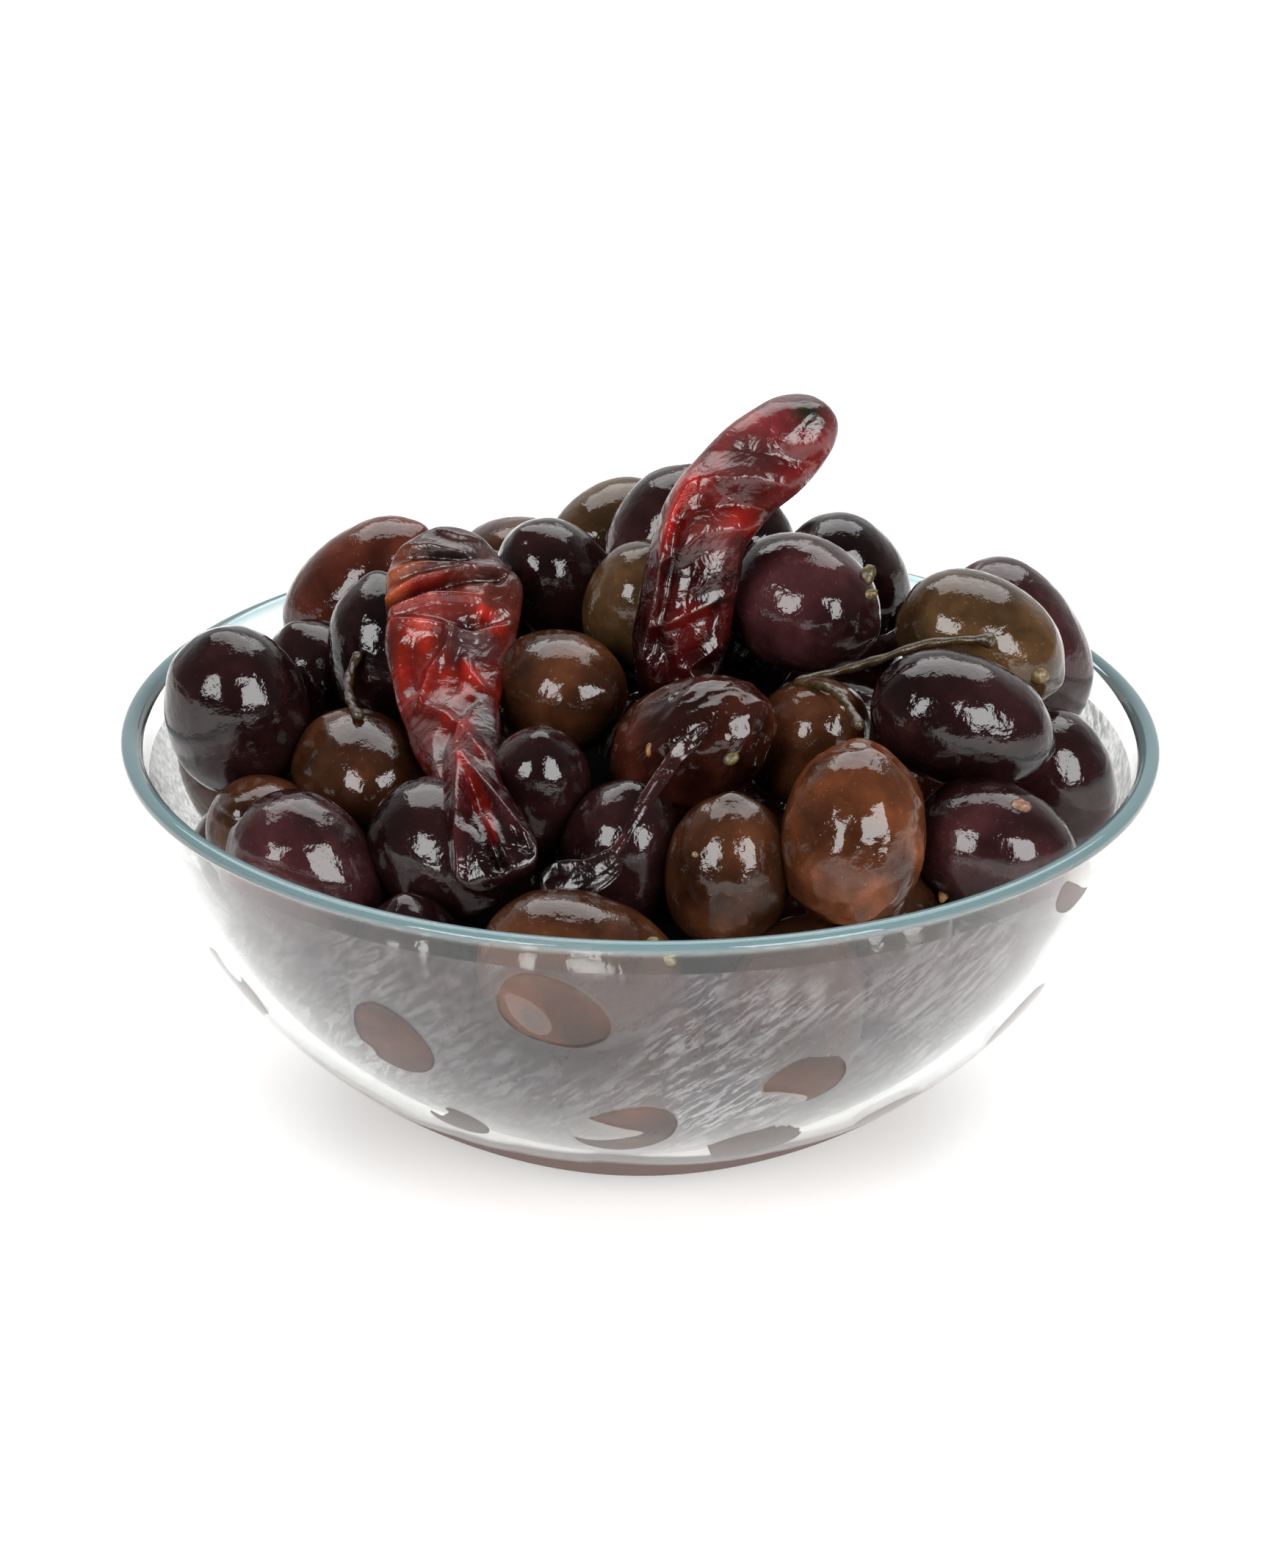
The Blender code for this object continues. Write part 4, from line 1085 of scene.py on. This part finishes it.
def make_stem(title, node, points, radius, swell, look, tone):
    """A thin stem, thicker at its cut end."""
    mesh, unit = unit_sphere(STEM_SIDES)
    t, angle, at, side, front = around_line(points, unit, STEM_STEP)
    ends = np.sqrt(np.clip(np.minimum(STEM_ENDS*t, STEM_ENDS*(1 - t)), 0.0, 1.0))
    knots = 1.0 + sum(height*np.sin(far*t + turns*angle) for height, far, turns in KNOTS)
    swollen = np.clip((t - SWOLLEN[0])/SWOLLEN[1], 0.0, 1.0)**2
    size = radius*knots*(1.0 + swell*swollen)*ends
    spot = at + side*(np.cos(angle)*size)[:, None] + front*(np.sin(angle)*size)[:, None]
    store(mesh, spot, linear(tone))
    stem = finished(title, mesh, look)
    if node:
        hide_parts(node)


def make_shred(title, rows, tone, look):
    """A shred of skin lying on the olives, folded along its length."""
    mesh, unit = unit_sphere(SHRED_SIDES)

    def relief(along, across):
        long = np.stack([along*SHRED_DRAWN, across, 0*along], 1)
        loose = np.stack([along, across, 0*along], 1)
        folds = SHRED_HEIGHTS[0]*np.abs(waves(long, 61, *SHRED_FOLDS))
        return folds + SHRED_HEIGHTS[1]*waves(loose, 63, *SHRED_WAVES)

    points, along, across, t = strap(rows, unit, relief, POD_END_POWER, 0.3)
    shade = 1.0 + 0.6*waves(np.stack([along*0.4, across*2, 0*t], 1), 65, *SHRED_TONES)
    tones = np.array(linear(tone))*np.clip(shade, *SHRED_SHADES)[:, None]
    store(mesh, points, tones, np.full(len(points), SHRED_WET))
    shred = finished(title, mesh, look)


def make_bits(olives, look):
    """Seeds, crumbs and stem scars on the olives, in one piece."""
    small, unit = unit_sphere(BIT_SIDES)
    parts = []
    for name, right, up, long, wide, turn, tone in BITS:
        middle, axis, size = olives[name]
        at = ellipsoid_front(middle, axis, size, right, up)
        angle = math.radians(turn)
        along = SIGHT_RIGHT*math.cos(angle) + SIGHT_UP*math.sin(angle)
        side = np.cross(SIGHT_BACK, along)
        rough = 1.0 + 0.12*waves(unit*3.0, len(parts) + 7, *BIT_LUMPS)
        body = unit*rough[:, None]*(long/2, wide/2, wide/3)
        points = at + body @ np.stack([along, side, SIGHT_BACK])
        parts.append((small, points, np.full((len(unit), 3), linear(tone))))
    bits = joined("olive_bits", parts, look)


def make_floor():
    """The table."""
    shape = bmesh.new()
    bmesh.ops.create_grid(shape, x_segments=2, y_segments=2, size=4.0)
    table = placed("table", mesh_of("table", shape))
    table.data.materials.append(floor_material())


def lamp(name, place, size, power):
    """A white softbox aimed at the bowl, with its width and height in metres and its power in watts."""
    data = bpy.data.lights.new(name, "AREA")
    data.shape = "RECTANGLE"
    data.size, data.size_y = size
    data.energy = power
    made = placed(name, data)
    made.location = place
    aim = VIEW_TARGET - Vector(place)
    made.rotation_euler = aim.to_track_quat("-Z", "Y").to_euler()


def around(azimuth, elevation, distance):
    """A place round the bowl; azimuth 0 is the camera's side and grows to the right."""
    a, e = math.radians(azimuth), math.radians(elevation)
    return (distance*math.sin(a)*math.cos(e), -distance*math.cos(a)*math.cos(e), distance*math.sin(e))


def make_light():
    """Two softboxes in front, a broad one overhead, and a surround that is bright behind."""
    world = bpy.data.worlds.new("pale_studio")
    bpy.context.scene.world = world
    world.use_nodes = True
    tree = world.node_tree
    way = add(tree, "ShaderNodeTexCoord").outputs["Generated"]
    parts = add(tree, "ShaderNodeSeparateXYZ", {0: way})
    back = maths(tree, "MULTIPLY_ADD", parts.outputs["Y"], 0.45, 0.5)
    shade = ramp(tree, back, ((0.1, 0.06), (0.6, 0.18), (0.94, 1.0)))
    tree.links.new(shade, tree.nodes["Background"].inputs["Color"])
    tree.nodes["Background"].inputs["Strength"].default_value = 0.9
    lamp("right_softbox", around(36, 27, 0.9), (0.44, 0.50), 8.0)
    lamp("left_softbox", around(-34, 29, 0.95), (0.42, 0.48), 7.2)
    lamp("overhead", around(180, 62, 1.2), (1.5, 0.9), 17.0)


def make_camera():
    """The photo's camera."""
    data = bpy.data.cameras.new("camera")
    data.lens = VIEW_LENS
    data.sensor_width = SENSOR_WIDTH
    data.shift_x = VIEW_SHIFT
    made = placed("camera", data)
    ahead, right, up = -Vector(SIGHT_BACK), Vector(SIGHT_RIGHT), Vector(SIGHT_UP)
    turned_right = right*math.cos(VIEW_ROLL) + up*math.sin(VIEW_ROLL)
    turned_up = turned_right.cross(ahead)
    facing = Matrix((turned_right, turned_up, -ahead)).transposed()
    made.matrix_world = Matrix.Translation(VIEW_TARGET - ahead*VIEW_DISTANCE) @ facing.to_4x4()
    bpy.context.scene.camera = made


make_bowl()
make_film()
make_brine()
olives = make_olives()
make_core()
chili = chili_material()
make_pod("left_chili", "chili_left", LEFT_POD, LEFT_CREASES, LEFT_TONE_AND_LIGHT_PATCHES, LEFT_TONE_AND_LIGHT_STOPS, LEFT_WET, 0.14, chili)
make_pod("right_chili", "chili_right", RIGHT_POD, RIGHT_CREASES, RIGHT_TONE_AND_LIGHT_PATCHES, RIGHT_TONE_AND_LIGHT_STOPS, RIGHT_WET,
         0.09, chili)
make_shred("skin_shred", SHRED, "#2c1312", chili)
make_shred("low_shred", LOW_SHRED, "#1a0b0c", chili)
woody = woody_material()
make_stem("left_stem", "stem_left", LEFT_STEM, STEM_RADIUS, 0.3, woody, "#2e2013")
make_stem("right_stem", "stem_right", RIGHT_STEM, STEM_RADIUS, 1.0, woody, "#30220f")
make_stem("stem_fork", None, FORK, FORK_RADIUS, 0.4, woody, "#332512")
make_bits(olives, woody)
make_floor()
make_light()
make_camera()
bpy.context.scene.view_settings.view_transform = "Standard"
